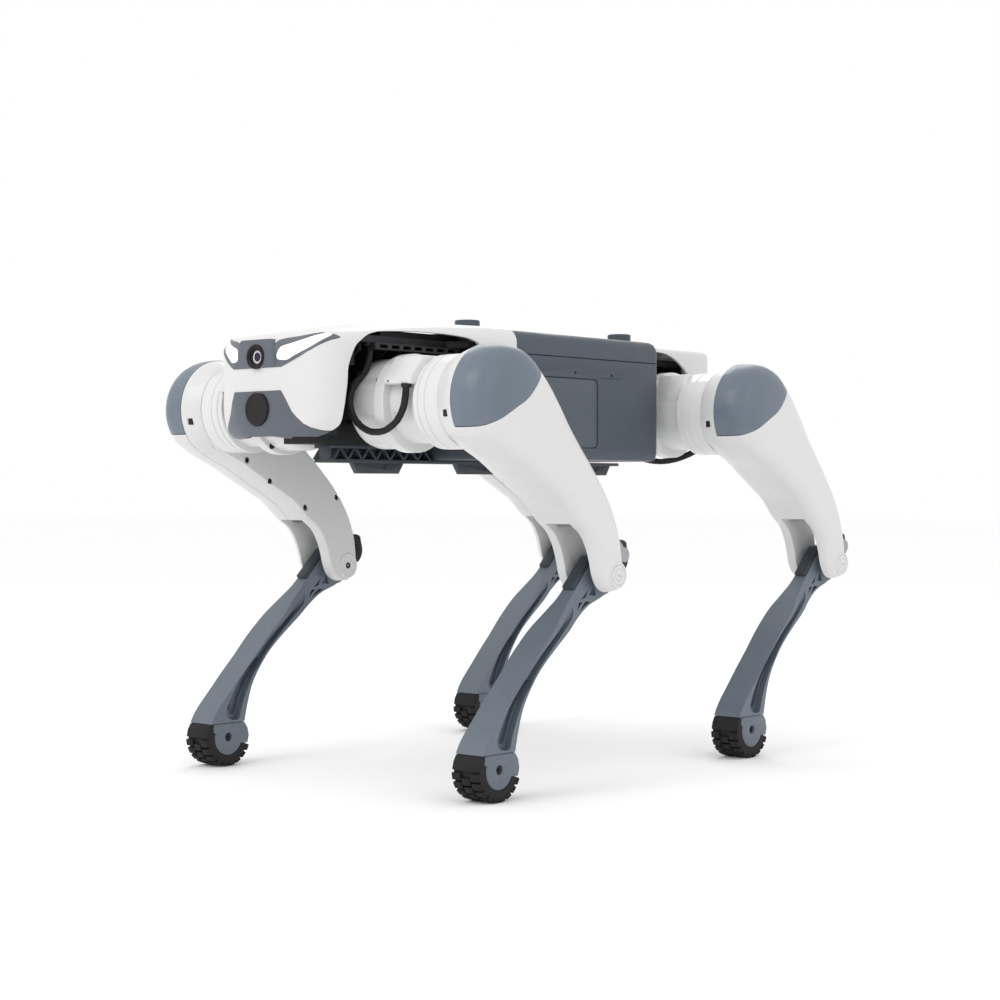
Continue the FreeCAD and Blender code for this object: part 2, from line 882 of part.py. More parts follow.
def nose_guard():
    """The grey lower face panel, which wraps round to the arches."""
    body = new_body("nose_guard")
    outside = [(309, 69), (324.5, 60), (336.6, 31), (336.6, -31), (324.5, -60), (309, -69)]
    inside = [(309, -65.4), (321.5, -57.5), (333.3, -29.5), (333.3, 29.5), (321.5, 57.5), (309, 65.4)]
    prism(body, "Z", outside + inside, 318, 362)
    edge = [(y, z - 0.3) for y, z in FACE_EDGE]
    prism(body, "X", edge + [(31, 370), (76, 370)], 300, 340, cut=True)
    prism(body, "X", [(-y, z) for y, z in edge] + [(-31, 370), (-76, 370)], 300, 340, cut=True)
    prism(body, "Y", [(300, 330), (309, 324.5), (315, 317), (300, 317)], -80, 80, cut=True)
    rod(body, "X", 15.2, 325, 340, 0, 344, cut=True)
    block(body, (290.2, -20, 322), (334, 20, 327.5))
    return body


def nose_disc():
    """The round cover in the nose guard."""
    body = new_body("nose_disc")
    rod(body, "X", 15, 326, 338.4, 0, 344)
    rounded(body, 1.5, circle_at(338.4))
    return body


def circle_at(x):
    """Picks the edges that lie in one plane across X."""

    def wanted(edge):
        return abs(edge.BoundBox.XMin - x) < 0.01 and abs(edge.BoundBox.XMax - x) < 0.01

    return wanted


def visor():
    """The brow piece that holds the camera and frames the lights."""
    body = new_body("visor")
    front = [(-32, 380), (32, 380), (56, 394), (61, 397.6), (61, 404), (20, 409)]
    front += [(-20, 409), (-61, 404), (-61, 397.6), (-56, 394)]
    prism(body, "X", front, 317, 336)
    slope = [(310, 412), (317, 411), (330, 405), (337, 396), (345, 396), (345, 420), (310, 420)]
    prism(body, "Y", slope, -70, 70, cut=True)
    rod(body, "X", 10.9, 316, 340, 0, 390.4, cut=True)
    for side in (-1, 1):
        corner = [(336.6, 31), (324.5, 60), (320, 64), (320, 70), (340, 70)]
        prism(body, "Z", [(x, side * y) for x, y in corner], 370, 420, cut=True)
        slot = [(side * 24, 397), (side * 54, 397), (side * 60, 402), (side * 30, 402)]
        prism(body, "X", slot, 322, 340, cut=True)
    return body


def camera():
    """The camera module in the visor."""
    body = new_body("camera")
    rod(body, "X", 10.7, 317, 339, 0, 390.4)
    rod(body, "X", 8.2, 339, 341, 0, 390.4)
    return body


def headlights():
    """The two light strips beside the camera."""
    body = new_body("headlights")
    for side in (-1, 1):
        strip = [(side * 24.3, 397.2), (side * 54, 397.2), (side * 59.4, 401.8), (side * 30.2, 401.8)]
        prism(body, "X", strip, 322.2, 327)
    return body


def rear_shell():
    """The white tail shell over the rear hips."""
    body = new_body("rear_shell")
    plan = [
        ("box_rear_x - 0.3", 65),
        (-225, 62),
        ("tail_x + 8", 56),
        ("tail_x", 44),
        ("tail_x", -44),
        ("tail_x + 8", -56),
        (-225, -62),
        ("box_rear_x - 0.3", -65),
    ]
    prism(body, "Z", plan, 350, 425)
    above = [(-110, 440), (-110, 424.5), (-180, 423), (-230, 419), (-262, 409), (-275, 380), (-275, 440)]
    prism(body, "Y", above, -120, 120, cut=True)
    inside = [(-100, 61.7), (-225, 58.8), (-249, 53.4), (-255.6, 42)]
    inside += [(-255.6, -42), (-249, -53.4), (-225, -58.8), (-100, -61.7)]
    prism(body, "Z", inside, 340, 415, cut=True)
    under = [
        (-110, 340),
        (-275, 340),
        (-275, 352),
        (-240, 352),
        (-233, 372),
        (-219, 397),
        (-195, 414),
        (-163, 421.5),
        (-110, 421.5),
    ]
    prism(body, "Y", under, -120, -50, cut=True)
    prism(body, "Y", under, 50, 120, cut=True)
    for y in ("post_y", "-post_y"):
        rod(body, "Z", "post_radius + 0.2", 405, 440, "post_rear_x", y, cut=True)
    return body


def belly_frame():
    """The ribbed keel under the trunk, with three skids."""
    body = new_body("belly_frame")
    floor = "box_bottom_z - 0.3"
    block(body, ("box_front_x", "-belly_half", "belly_bottom_z"), (254, "belly_half", "belly_top_z"))
    block(body, (-170, "-belly_half", "belly_bottom_z"), ("box_front_x", "belly_half", floor))
    for index in range(6):
        left = 128 + index * 21
        block(body, (left, "belly_half - 5", 301), (left + 16, "belly_half + 1", 311), cut=True)
        block(body, (left, "-belly_half - 1", 301), (left + 16, "5 - belly_half", 311), cut=True)
    for left, right in ((151.6, 220.4), (8.4, 77.2), (-169.5, -100.7)):
        skid = [(left, 298), (left + 7, "skid_bottom_z"), (right - 7, "skid_bottom_z"), (right, 298)]
        prism(body, "Y", skid, "-skid_half", "skid_half")
    return body


trunk = [
    trunk_chassis(),
    abduction_motors(),
    battery_pack(),
    computer_board(),
    body_box(),
    body_lid(),
    side_covers(),
    payload_posts(),
    front_shell(),
    nose_guard(),
    nose_disc(),
    visor(),
    camera(),
    headlights(),
    rear_shell(),
    belly_frame(),
]
for piece in trunk:
    place(piece, "datum_x")
keep(*trunk)


# ---------------------------------------------------------------- checks and export
def save():
    doc.recompute()
    failed = [o.Label for o in doc.Objects if {"Invalid", "Error"} & set(o.State)]
    if failed:
        raise RuntimeError(f"failed objects: {failed}")
    for feature in doc.Objects:
        if feature.TypeId in ("PartDesign::Pocket", "PartDesign::Groove"):
            before = feature.BaseFeature.Shape.Volume
            if before - feature.Shape.Volume < 0.01:
                raise RuntimeError(f"{feature.Label} cuts nothing")
    os.makedirs("parts", exist_ok=True)
    for piece in subparts:
        if piece.Shape.isNull() or not piece.Shape.isValid():
            raise RuntimeError(f"{piece.Label} has no valid shape")
        piece.Shape.exportStep(f"parts/{piece.Label}.step")
    print(len(subparts), "sub-parts written")


save()
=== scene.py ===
import json
import math

import bmesh
import bpy
from mathutils import Matrix, Vector


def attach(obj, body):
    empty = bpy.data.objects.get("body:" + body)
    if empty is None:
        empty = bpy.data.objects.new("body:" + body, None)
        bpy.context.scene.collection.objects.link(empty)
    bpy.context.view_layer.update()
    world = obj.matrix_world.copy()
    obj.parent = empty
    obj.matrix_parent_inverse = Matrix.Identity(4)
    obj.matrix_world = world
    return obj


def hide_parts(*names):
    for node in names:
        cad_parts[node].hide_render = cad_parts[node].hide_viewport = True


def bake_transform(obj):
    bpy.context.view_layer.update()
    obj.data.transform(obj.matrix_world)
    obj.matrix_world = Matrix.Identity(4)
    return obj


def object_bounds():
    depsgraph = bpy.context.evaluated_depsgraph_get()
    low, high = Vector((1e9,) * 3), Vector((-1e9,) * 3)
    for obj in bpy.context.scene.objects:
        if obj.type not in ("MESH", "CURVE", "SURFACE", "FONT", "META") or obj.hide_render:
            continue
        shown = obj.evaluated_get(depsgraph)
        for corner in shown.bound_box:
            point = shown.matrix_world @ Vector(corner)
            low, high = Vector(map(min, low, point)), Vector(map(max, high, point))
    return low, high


# Quadruped robot dog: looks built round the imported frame.
# Outlines are in millimetres. Leg pieces are drawn about the hip pitch axis of a left leg, in its middle plane,
# and trunk pieces about the trunk's own datum. Each mesh is scaled to metres when it is placed.

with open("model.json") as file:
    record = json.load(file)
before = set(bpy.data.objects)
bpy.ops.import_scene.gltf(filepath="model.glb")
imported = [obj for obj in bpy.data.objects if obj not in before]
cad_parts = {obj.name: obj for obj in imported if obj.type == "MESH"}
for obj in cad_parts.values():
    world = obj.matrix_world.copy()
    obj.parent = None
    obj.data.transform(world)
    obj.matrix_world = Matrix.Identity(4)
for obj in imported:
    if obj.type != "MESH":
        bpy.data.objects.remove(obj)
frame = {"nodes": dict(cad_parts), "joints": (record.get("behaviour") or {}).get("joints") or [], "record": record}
cad_low, cad_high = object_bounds()

MM = 0.001
DATUM_X = 8  # the trunk's datum, ahead of the origin
CORNERS = ("front_left", "front_right", "rear_left", "rear_right")
JOINT_AT = {joint["name"]: Vector(joint["pos_m"]) for joint in frame["joints"]}


# ---------------------------------------------------------------- camera, floor and light
def camera():
    """The camera stands ahead and to the left of the robot, a little above the ground."""
    data = bpy.data.cameras.new("camera")
    data.sensor_width = 36
    data.lens = 72.16
    data.shift_x = -0.0024
    data.shift_y = 0.0161
    data.clip_end = 100
    eye = bpy.data.objects.new("camera", data)
    bpy.context.scene.collection.objects.link(eye)
    eye.location = (1.5478, 1.3370, 0.2732)
    azimuth, elevation = math.radians(41.05), math.radians(0.78)
    flat = math.cos(elevation)
    back = Vector((math.cos(azimuth) * flat, math.sin(azimuth) * flat, math.sin(elevation)))
    eye.rotation_mode = "QUATERNION"
    eye.rotation_quaternion = (-back).to_track_quat("-Z", "Y")
    bpy.context.scene.camera = eye


def area_light(name, place, size, power, target=(0, 0, 0.25)):
    data = bpy.data.lights.new(name, "AREA")
    data.shape = "DISK"
    data.size = size
    data.energy = power
    lamp = bpy.data.objects.new(name, data)
    bpy.context.scene.collection.objects.link(lamp)
    lamp.location = place
    lamp.rotation_mode = "QUATERNION"
    lamp.rotation_quaternion = (Vector(target) - Vector(place)).to_track_quat("-Z", "Y")


def studio():
    """A pale floor, a white sky and three soft lamps."""
    world = bpy.data.worlds.new("studio")
    bpy.context.scene.world = world
    world.use_nodes = True
    sky = world.node_tree.nodes["Background"]
    sky.inputs["Color"].default_value = (1, 1, 1, 1)
    sky.inputs["Strength"].default_value = 1.0
    area_light("key", (2.2, -0.3, 2.0), 1.6, 16)
    area_light("fill", (0.6, 2.4, 1.5), 1.8, 5)
    area_light("rim", (-1.6, -1.2, 1.8), 1.2, 8)
    view = bpy.context.scene.view_settings
    view.view_transform = "Standard"
    view.look = "None"
    view.exposure = 0.0
    grid = bpy.data.meshes.new("floor")
    far = 14
    grid.from_pydata([(-far, -far, 0), (far, -far, 0), (far, far, 0), (-far, far, 0)], [], [(0, 1, 2, 3)])
    floor = bpy.data.objects.new("floor", grid)
    bpy.context.scene.collection.objects.link(floor)
    floor.location.z = cad_low.z - 0.0002
    paint = bpy.data.materials.new("floor_paint")
    paint.use_nodes = True
    shader = paint.node_tree.nodes["Principled BSDF"]
    shader.inputs["Base Color"].default_value = (0.985, 0.985, 0.985, 1)
    shader.inputs["Roughness"].default_value = 0.9
    shader.inputs["Specular IOR Level"].default_value = 0.1
    floor.data.materials.append(paint)


# ---------------------------------------------------------------- materials
def moulded(name, colour, roughness, peel=0.02, peel_scale=900, edge_lift=0.08, coat=0.0, metal=0.0, mottle=0.05, shine=0.5):
    """A moulded or painted finish: faint mottling, convex edges a little lighter, uneven gloss and a fine peel."""
    material = bpy.data.materials.new(name)
    material.use_nodes = True
    tree = material.node_tree
    shader = tree.nodes["Principled BSDF"]

    def node(kind, **inputs):
        made = tree.nodes.new(kind)
        for key, number in inputs.items():
            made.inputs[key.replace("_", " ")].default_value = number
        return made

    def join(out_node, out, in_node, into):
        tree.links.new(out_node.outputs[out], in_node.inputs[into])

    place = tree.nodes.new("ShaderNodeTexCoord")
    cloud = node("ShaderNodeTexNoise", Scale=14.0, Detail=5.0, Roughness=0.6)
    grain = node("ShaderNodeTexNoise", Scale=float(peel_scale), Detail=3.0, Roughness=0.55)
    smear = node("ShaderNodeTexNoise", Scale=55.0, Detail=6.0, Roughness=0.65)
    for texture in (cloud, grain, smear):
        join(place, "Object", texture, "Vector")

    shade = tree.nodes.new("ShaderNodeValToRGB")
    shade.color_ramp.elements[0].position = 0.3
    shade.color_ramp.elements[1].position = 0.7
    shade.color_ramp.elements[0].color = (*[c * (1 - mottle) for c in colour], 1)
    shade.color_ramp.elements[1].color = (*[min(1, c * (1 + mottle)) for c in colour], 1)
    join(cloud, "Fac", shade, "Fac")

    # Convex edges, found from the mesh's pointiness, are mixed a little towards a lighter copy of the colour.
    shape = tree.nodes.new("ShaderNodeNewGeometry")
    edge_lift_mask = tree.nodes.new("ShaderNodeMapRange")
    for key, number in (("From Min", 0.53), ("From Max", 0.62), ("To Min", 0.0), ("To Max", edge_lift)):
        edge_lift_mask.inputs[key].default_value = number
    join(shape, "Pointiness", edge_lift_mask, "Value")
    edge = tree.nodes.new("ShaderNodeMix")
    edge.data_type = "RGBA"
    edge.inputs["B"].default_value = (*[min(1, c * 1.35 + 0.06) for c in colour], 1)
    tree.links.new(edge_lift_mask.outputs["Result"], edge.inputs["Factor"])
    tree.links.new(shade.outputs["Color"], edge.inputs["A"])
    tree.links.new(edge.outputs["Result"], shader.inputs["Base Color"])

    gloss = tree.nodes.new("ShaderNodeMapRange")
    spread = 0.07
    for key, number in (("From Min", 0.3), ("From Max", 0.7), ("To Min", roughness - spread), ("To Max", roughness + spread)):
        gloss.inputs[key].default_value = number
    join(smear, "Fac", gloss, "Value")
    join(gloss, "Result", shader, "Roughness")

    bump = tree.nodes.new("ShaderNodeBump")
    bump.inputs["Strength"].default_value = peel * 10
    bump.inputs["Distance"].default_value = 0.0001
    join(grain, "Fac", bump, "Height")
    join(bump, "Normal", shader, "Normal")
    shader.inputs["Metallic"].default_value = metal
    shader.inputs["Specular IOR Level"].default_value = shine
    shader.inputs["Coat Weight"].default_value = coat
    shader.inputs["Coat Roughness"].default_value = 0.12
    return material


def glow(material, colour, strength):
    """Gives a finish a faint light of its own."""
    shader = material.node_tree.nodes["Principled BSDF"]
    shader.inputs["Emission Color"].default_value = (*colour, 1)
    shader.inputs["Emission Strength"].default_value = strength
    return material


FINISH = {
    "white_shell": moulded("white_satin_shell", (0.66, 0.66, 0.657), 0.36, coat=0.12, mottle=0.012),
    "grey_cap": moulded("blue_grey_cap", (0.118, 0.152, 0.192), 0.42, peel=0.03, coat=0.1),
    "slate_box": moulded("slate_box_plastic", (0.050, 0.066, 0.084), 0.50, peel=0.05, peel_scale=1400),
    "grey_calf": moulded("blue_grey_calf", (0.112, 0.136, 0.168), 0.46, peel=0.04, peel_scale=1200),
    "belly_plastic": moulded("dark_slate_belly", (0.040, 0.050, 0.062), 0.55, peel=0.05, peel_scale=1300),
    "frame_metal": moulded("black_anodised_frame", (0.030, 0.031, 0.034), 0.45, metal=0.6),
    "motor_metal": moulded("dark_motor_can", (0.10, 0.10, 0.11), 0.36, metal=0.9),
    "linkage_metal": moulded("machined_link", (0.34, 0.35, 0.37), 0.32, metal=0.9),
    "battery_case": moulded("battery_case_plastic", (0.03, 0.03, 0.032), 0.55),
    "circuit_board": moulded("green_board", (0.015, 0.075, 0.04), 0.40),
    "black_trim": moulded("black_trim_plastic", (0.010, 0.010, 0.012), 0.38, peel=0.03, shine=0.25),
    "light_strip": glow(moulded("light_strip_diffuser", (0.92, 0.93, 0.95), 0.22, coat=0.4, mottle=0.01), (1, 1, 1), 0.35),
    "cable_rubber": moulded("cable_jacket", (0.011, 0.011, 0.012), 0.48, peel=0.05, peel_scale=1600, shine=0.25),
    "tread_rubber": moulded("tread_rubber_black", (0.014, 0.014, 0.015), 0.66, peel=0.09, peel_scale=1100, shine=0.2),
}
DARK_SLATE = moulded("dark_slate_face", (0.088, 0.100, 0.122), 0.44, peel=0.03, coat=0.1)
PANEL_SLATE = moulded("lighter_slate_panel", (0.066, 0.084, 0.104), 0.52, peel=0.05, peel_scale=1400)
# Painted shade: a darker slate for the strip in the calf's upper front groove, standing in for the shade on that
# recessed face.
CALF_STRIP_PAINTED_SHADE = moulded("calf_strip_painted_shade", (0.036, 0.044, 0.056), 0.5, shine=0.3)
LENS_GLASS = moulded("lens_glass", (0.012, 0.006, 0.034), 0.16, peel=0.0, shine=0.35)
SCREW_STEEL = moulded("black_oxide_screw", (0.020, 0.020, 0.022), 0.38, metal=0.7)


# ---------------------------------------------------------------- mesh tools
def in_scene(name, mesh):
    thing = bpy.data.objects.new(name, mesh)
    bpy.context.scene.collection.objects.link(thing)
    return thing


def closed_mesh(name, points, faces):
    """A mesh from points and faces, with doubles merged and normals turned outward."""
    mesh = bpy.data.meshes.new(name)
    mesh.from_pydata([tuple(p) for p in points], [], faces)
    net = bmesh.new()
    net.from_mesh(mesh)
    bmesh.ops.remove_doubles(net, verts=net.verts, dist=0.002)
    bmesh.ops.recalc_face_normals(net, faces=net.faces)
    net.to_mesh(mesh)
    net.free()
    return mesh


def bake(thing):
    """Applies the modifiers."""
    bpy.context.view_layer.update()
    seen = thing.evaluated_get(bpy.context.evaluated_depsgraph_get())
    mesh = bpy.data.meshes.new_from_object(seen)
    thing.modifiers.clear()
    thing.data = mesh
    return thing


def discard(*things):
    for thing in things:
        bpy.data.objects.remove(thing)


def combine(thing, tools, operation="DIFFERENCE"):
    """Cuts, keeps or joins the tools' shapes with a thing, and removes the tools."""
    for tool in tools:
        step = thing.modifiers.new("combine", "BOOLEAN")
        step.operation = operation
        step.solver = "EXACT"
        step.object = tool
    bake(thing)
    discard(*tools)
    return thing


def soften(thing, width, segments=2, angle=32):
    """Rounds the edges that are sharper than the angle."""
    step = thing.modifiers.new("soften", "BEVEL")
    step.width = width
    step.segments = segments
    step.limit_method = "ANGLE"
    step.angle_limit = math.radians(angle)
    step.use_clamp_overlap = True
    return bake(thing)


ORDER = {"X": (2, 0, 1), "Y": (0, 2, 1), "Z": (0, 1, 2)}


def along(axis, across, up, distance):
    """A point from its place across an axis and its distance along it."""
    spot = (across, up, distance)
    return tuple(spot[i] for i in ORDER[axis])


def prism(outline, low, high, axis="Y", name="prism"):
    """An outline run along an axis."""
    count = len(outline)
    points = [along(axis, a, b, end) for end in (low, high) for a, b in outline]
    faces = [tuple(range(count)), tuple(range(count, 2 * count))]
    faces += [(i, (i + 1) % count, count + (i + 1) % count, count + i) for i in range(count)]
    return in_scene(name, closed_mesh(name, points, faces))


def turned(profile, axis="Y", at=(0, 0), steps=72, name="turned"):
    """A profile of (radius, distance) points turned about an axis through at."""
    points, faces = [], []
    count = len(profile)
    for k in range(steps):
        angle = 2 * math.pi * k / steps
        for radius, distance in profile:
            across = at[0] + radius * math.cos(angle)
            up = at[1] + radius * math.sin(angle)
            points.append(along(axis, across, up, distance))
    for k in range(steps):
        here, there = k * count, (k + 1) % steps * count
        for i in range(count - 1):
            faces.append((here + i, here + i + 1, there + i + 1, there + i))
    if profile[0][0] > 0 and profile[-1][0] > 0:
        faces += [(k * count + count - 1, k * count, (k + 1) % steps * count, (k + 1) % steps * count + count - 1)
                  for k in range(steps)]
    return in_scene(name, closed_mesh(name, points, faces))


def pin(radius, low, high, axis="Y", at=(0, 0), steps=48):
    return turned([(0, low), (radius, low), (radius, high), (0, high)], axis, at, steps, "pin")


def curved(points, steps=5, closed=False):
    """A smooth curve through points of any dimension."""
    points = [Vector(p) for p in points]
    count = len(points)
    result = []
    for i in range(count if closed else count - 1):
        if closed:
            a, b, c, d = (points[(i + k) % count] for k in (-1, 0, 1, 2))
        else:
            b, c = points[i], points[i + 1]
            a = points[i - 1] if i else b * 2 - c
            d = points[i + 2] if i + 2 < count else c * 2 - b
        for k in range(steps):
            t = k / steps
            result.append(
                (b * 2 + (c - a) * t + (a * 2 - b * 5 + c * 4 - d) * t * t + (b * 3 - a - c * 3 + d) * t ** 3) / 2
            )
    if not closed:
        result.append(points[-1])
    return result


def loft(rings, name="loft"):
    """Closed rings of equal count joined into a solid, with a face at each end."""
    count = len(rings[0])
    points = [p for ring in rings for p in ring]
    faces = [tuple(range(count)), tuple((len(rings) - 1) * count + i for i in range(count))]
    for k in range(len(rings) - 1):
        for i in range(count):
            after = (i + 1) % count
            faces.append((k * count + i, k * count + after, (k + 1) * count + after, (k + 1) * count + i))
    return in_scene(name, closed_mesh(name, points, faces))


def box(low, high):
    outline = [(low[0], low[1]), (high[0], low[1]), (high[0], high[1]), (low[0], high[1])]
    return prism(outline, low[2], high[2], "Z", "box")


def join(things, name):
    """One mesh object from several."""
    net = bmesh.new()
    for thing in things:
        net.from_mesh(thing.data)
    mesh = bpy.data.meshes.new(name)
    net.to_mesh(mesh)
    net.free()
    discard(*things)
    return in_scene(name, mesh)


def rounded_outline(low, high, radius, steps=5):
    """A rectangle with round corners."""
    points = []
    for sx, sy, start in ((1, 1, 0), (-1, 1, 90), (-1, -1, 180), (1, -1, 270)):
        cx = (high[0] if sx > 0 else low[0]) - sx * radius
        cy = (high[1] if sy > 0 else low[1]) - sy * radius
        for k in range(steps + 1):
            angle = math.radians(start + 90 * k / steps)
            points.append((cx + radius * math.cos(angle), cy + radius * math.sin(angle)))
    return points


# ---------------------------------------------------------------- placing
def dress(mesh, material, sharp=38):
    """Smooth shading that keeps the sharp edges."""
    mesh.materials.clear()
    mesh.materials.append(material)
    mesh.shade_smooth()
    mesh.set_sharp_from_angle(angle=math.radians(sharp))


def show(name, mesh, transform, flip, body, slot, nodes=(), material=None, sharp=38):
    """Places a finished mesh as a piece of the robot."""
    mesh = mesh.copy()
    mesh.name = name
    mesh.transform(transform)
    if flip:
        mesh.flip_normals()
    dress(mesh, material or FINISH[slot], sharp)
    thing = in_scene(name, mesh)
    if nodes:
        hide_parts(*nodes)
    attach(thing, body)
    return thing


TRUNK_PLACE = Matrix.Translation((DATUM_X * MM, 0, 0)) @ Matrix.Scale(MM, 4)


def trunk_piece(name, thing, slot, nodes=(), material=None, sharp=38):
    show(name, thing.data, TRUNK_PLACE, False, "trunk", slot, nodes, material, sharp)
    discard(thing)


def leg_piece(name, thing, group, slot, nodes=(), material=None, turn=False, sharp=38):
    """Places one left-leg shape at all four corners. turn mirrors it fore and aft on the rear legs."""
    for corner in CORNERS:
        side = 1 if corner.endswith("left") else -1
        facing = -1 if turn and corner.startswith("rear") else 1
        scale = Matrix.Diagonal((facing * MM, side * MM, MM, 1))
        transform = Matrix.Translation(JOINT_AT[f"{corner}_pitch"]) @ scale
        flip = side * facing < 0
        mine = [f"{corner}_{node}" for node in nodes]
        show(f"{corner}_{name}", thing.data, transform, flip, f"{corner}_{group}", slot, mine, material, sharp)
    discard(thing)


# ---------------------------------------------------------------- cables
FRONT_ROUTE = [
    (257, 62, 402), (257, 62, 390.9), (261.5, 59.8, 377.4), (271.1, 55.6, 367.3), (276.2, 54.6, 353.7),
    (276.8, 58.5, 339.7), (275.5, 67.9, 328.7), (274.1, 81.1, 323.1), (272.7, 95.5, 323.9), (271.3, 108, 331),
    (269.9, 116, 342.9), (268.6, 118, 357.1), (268.6, 118, 365.3),
]
REAR_ROUTE = [
    (-120, 62, 308), (-135.8, 62, 308), (-151.3, 63, 304.2), (-167.2, 65.1, 302.1), (-183, 68.8, 302.4),
    (-197.7, 74.5, 305.6), (-208.3, 84.7, 312), (-212.9, 97.3, 320.2), (-211.3, 109.2, 330.2),
    (-206.4, 116.3, 343.1), (-204, 118, 358.3), (-204, 118, 365.3),
]
CABLE_DIAMETER = 0.0064


def spline_line(route):
    """The cable's centreline: a smooth spline that the route's points pull."""
    data = bpy.data.curves.new("route", "CURVE")
    data.dimensions = "3D"
    data.resolution_u = 8
    spline = data.splines.new("NURBS")
    spline.points.add(len(route) - 1)
    for point, spot in zip(spline.points, route):
        point.co = (*spot, 1)
    spline.order_u = 3
    spline.use_endpoint_u = True
    guide = in_scene("route", data)
    bpy.context.view_layer.update()
    seen = guide.evaluated_get(bpy.context.evaluated_depsgraph_get())
    mesh = bpy.data.meshes.new_from_object(seen)
    line = [v.co.copy() for v in mesh.vertices]
    bpy.data.meshes.remove(mesh)
    discard(guide)
    return line


def tube_mesh(line, radius, steps=20):
    """A round tube along a line, with a face at each end."""
    rings = []
    side = Vector((0, 0, 1)) if abs((line[1] - line[0]).normalized().z) < 0.9 else Vector((1, 0, 0))
    for i, spot in enumerate(line):
        way = (line[min(i + 1, len(line) - 1)] - line[max(i - 1, 0)]).normalized()
        side = (side - way * side.dot(way)).normalized()
        other = way.cross(side)
        rings.append([
            spot + (side * math.cos(2 * math.pi * k / steps) + other * math.sin(2 * math.pi * k / steps)) * radius
            for k in range(steps)
        ])
    return loft(rings, "tube").data


def cables():
    for corner in CORNERS:
        side = 1 if corner.endswith("left") else -1
        route = FRONT_ROUTE if corner.startswith("front") else REAR_ROUTE
        metres = [((x + DATUM_X) * MM, side * y * MM, z * MM) for x, y, z in route]
        line = spline_line(metres)
        mesh = tube_mesh(line, CABLE_DIAMETER / 2)
        bpy.data.objects.remove(bpy.data.objects["tube"])
        dress(mesh, FINISH["cable_rubber"], 60)
        cable = in_scene(f"{corner}_hip_lead", mesh)
        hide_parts(f"{corner}_hip_cable")
        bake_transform(cable)


# ---------------------------------------------------------------- thigh
KNEE = (-151.8, -156.7)
KNEE_WAY = Vector(KNEE).normalized()
ACROSS = Vector((KNEE_WAY.y, -KNEE_WAY.x))  # towards the thigh's rear edge
HEAD_RADIUS = 49.7
# Ribs across the thigh: distance down it, its front and rear edges, outer crown and inner face.
THIGH_RIBS = [
    (0, -49.7, 49.7, 40, 21.2),
    (22, -43.5, 50.2, 39.7, 21.4),
    (45, -33.9, 48.2, 38.4, 22),
    (70, -26, 45.8, 36.4, 23),
    (95, -18, 45.4, 34.2, 24.2),
    (118, -11, 45.8, 32, 25.2),
    (142, -9.2, 45.6, 30, 26),
    (160, -5.6, 43.8, 28.6, 26.2),
    (175, -8, 41, 27.6, 26.2),
    (188, -13.4, 37.2, 26.9, 26.2),
    (200, -20, 32, 26.4, 26.2),
    (211, -22.6, 24.6, 26.2, 26.2),
    (220, -20.2, 16.6, 26, 26),
    (227, -14.4, 9, 25.6, 25.6),
    (231, -5, 1, 24.4, 24.4),
]
LINK_CHANNEL = [(-8, 32), (-40, 12), (-105, -54), (-150, -98.5), (-150, -112), (-114, -112), (-20, -14), (0, 0)]


def rounding(steps=13):
    """Places across the outer face and their height there, from the middle to the edge."""
    turns = [math.pi / 2 * (1 - k / steps) for k in range(steps + 1)]
    return [(math.cos(a) ** 0.5 if k else 0.0, max(0.0, math.sin(a)) ** (2 / 3)) for k, a in enumerate(turns)]


INNER_FACE = [(0, 1), (0.25, 1), (0.5, 1), (0.7, 1), (0.852, 1), (0.93, 0.56), (0.985, 0.12), (0.992, 0)]


def thigh_half(profile, side):
    """Half of the thigh: its head is turned, and its ribs run on down to the knee."""
    outer = side > 0
    seam = 0.15 * side
    across = [(-v, h) for v, h in reversed(profile)] + profile[1:]
    points, faces = [], []

    def height(h, full):
        return seam if h * full < 0.16 else h * full * side

    ribs = curved(THIGH_RIBS, 4)
    for distance, front, rear, crown, depth in ribs:
        middle, half = (front + rear) / 2, (rear - front) / 2
        for v, h in across:
            spot = KNEE_WAY * distance + ACROSS * (middle + v * half)
            points.append((spot.x, height(h, crown if outer else depth), spot.y))
    width = len(across)
    for i in range(len(ribs) - 1):
        for j in range(width - 1):
            a = i * width + j
            faces.append((a, a + 1, a + width + 1, a + width))
    start, turns = len(points), 28
    full = THIGH_RIBS[0][3] if outer else THIGH_RIBS[0][4]
    for k in range(turns + 1):
        angle = math.pi * k / turns
        ray = ACROSS * math.cos(angle) - KNEE_WAY * math.sin(angle)
        for v, h in profile:
            spot = ray * (v * HEAD_RADIUS)
            points.append((spot.x, height(h, full), spot.y))
    count = len(profile)
    for k in range(turns):
        for j in range(count - 1):
            a = start + k * count + j
            faces.append((a, a + 1, a + count + 1, a + count))
    mesh = closed_mesh("thigh_half", points, faces)
    net = bmesh.new()
    net.from_mesh(mesh)
    open_edges = [e for e in net.edges if e.is_boundary]
    bmesh.ops.contextual_create(net, geom=open_edges)
    bmesh.ops.recalc_face_normals(net, faces=net.faces)
    net.to_mesh(mesh)
    net.free()
    return in_scene("thigh_half", mesh)


def thigh_tools():
    """The hollow head, the channel for the push rod and the gap of the fork."""
    roof = [(-50, -109), (-92, -109), (-112, -109.5), (-124, -107.5), (-136, -101), (-150, -96)]
    gap = roof + [(-230, -96), (-230, -210), (-50, -210)]
    return [
        turned([(0, -17), (43, -17), (43, 24), (0, 24)], name="hollow"),
        prism(LINK_CHANNEL, -17, 17),
        prism(gap, -15, 15),
    ]


CAP_EDGE = [
    (70, -24), (44, -24), (38, -23), (33.5, -20.8), (25, -16.6), (17.5, -12.2), (6, -6), (-4.8, -0.4), (-12, 5),
    (-18.4, 11.4), (-27, 20), (-38, 31), (-52, 45), (-64, 57),
]


def cap_prism(shift):
    """The space above the cap's lower boundary, moved down or up by shift."""
    edge = [(p.x, p.y + shift) for p in curved(CAP_EDGE, 4)]
    return prism(edge + [(-64, 90), (70, 90)], -2, 60)


def knee_bores(low, high):
    return pin(6.05, low, high, at=KNEE)


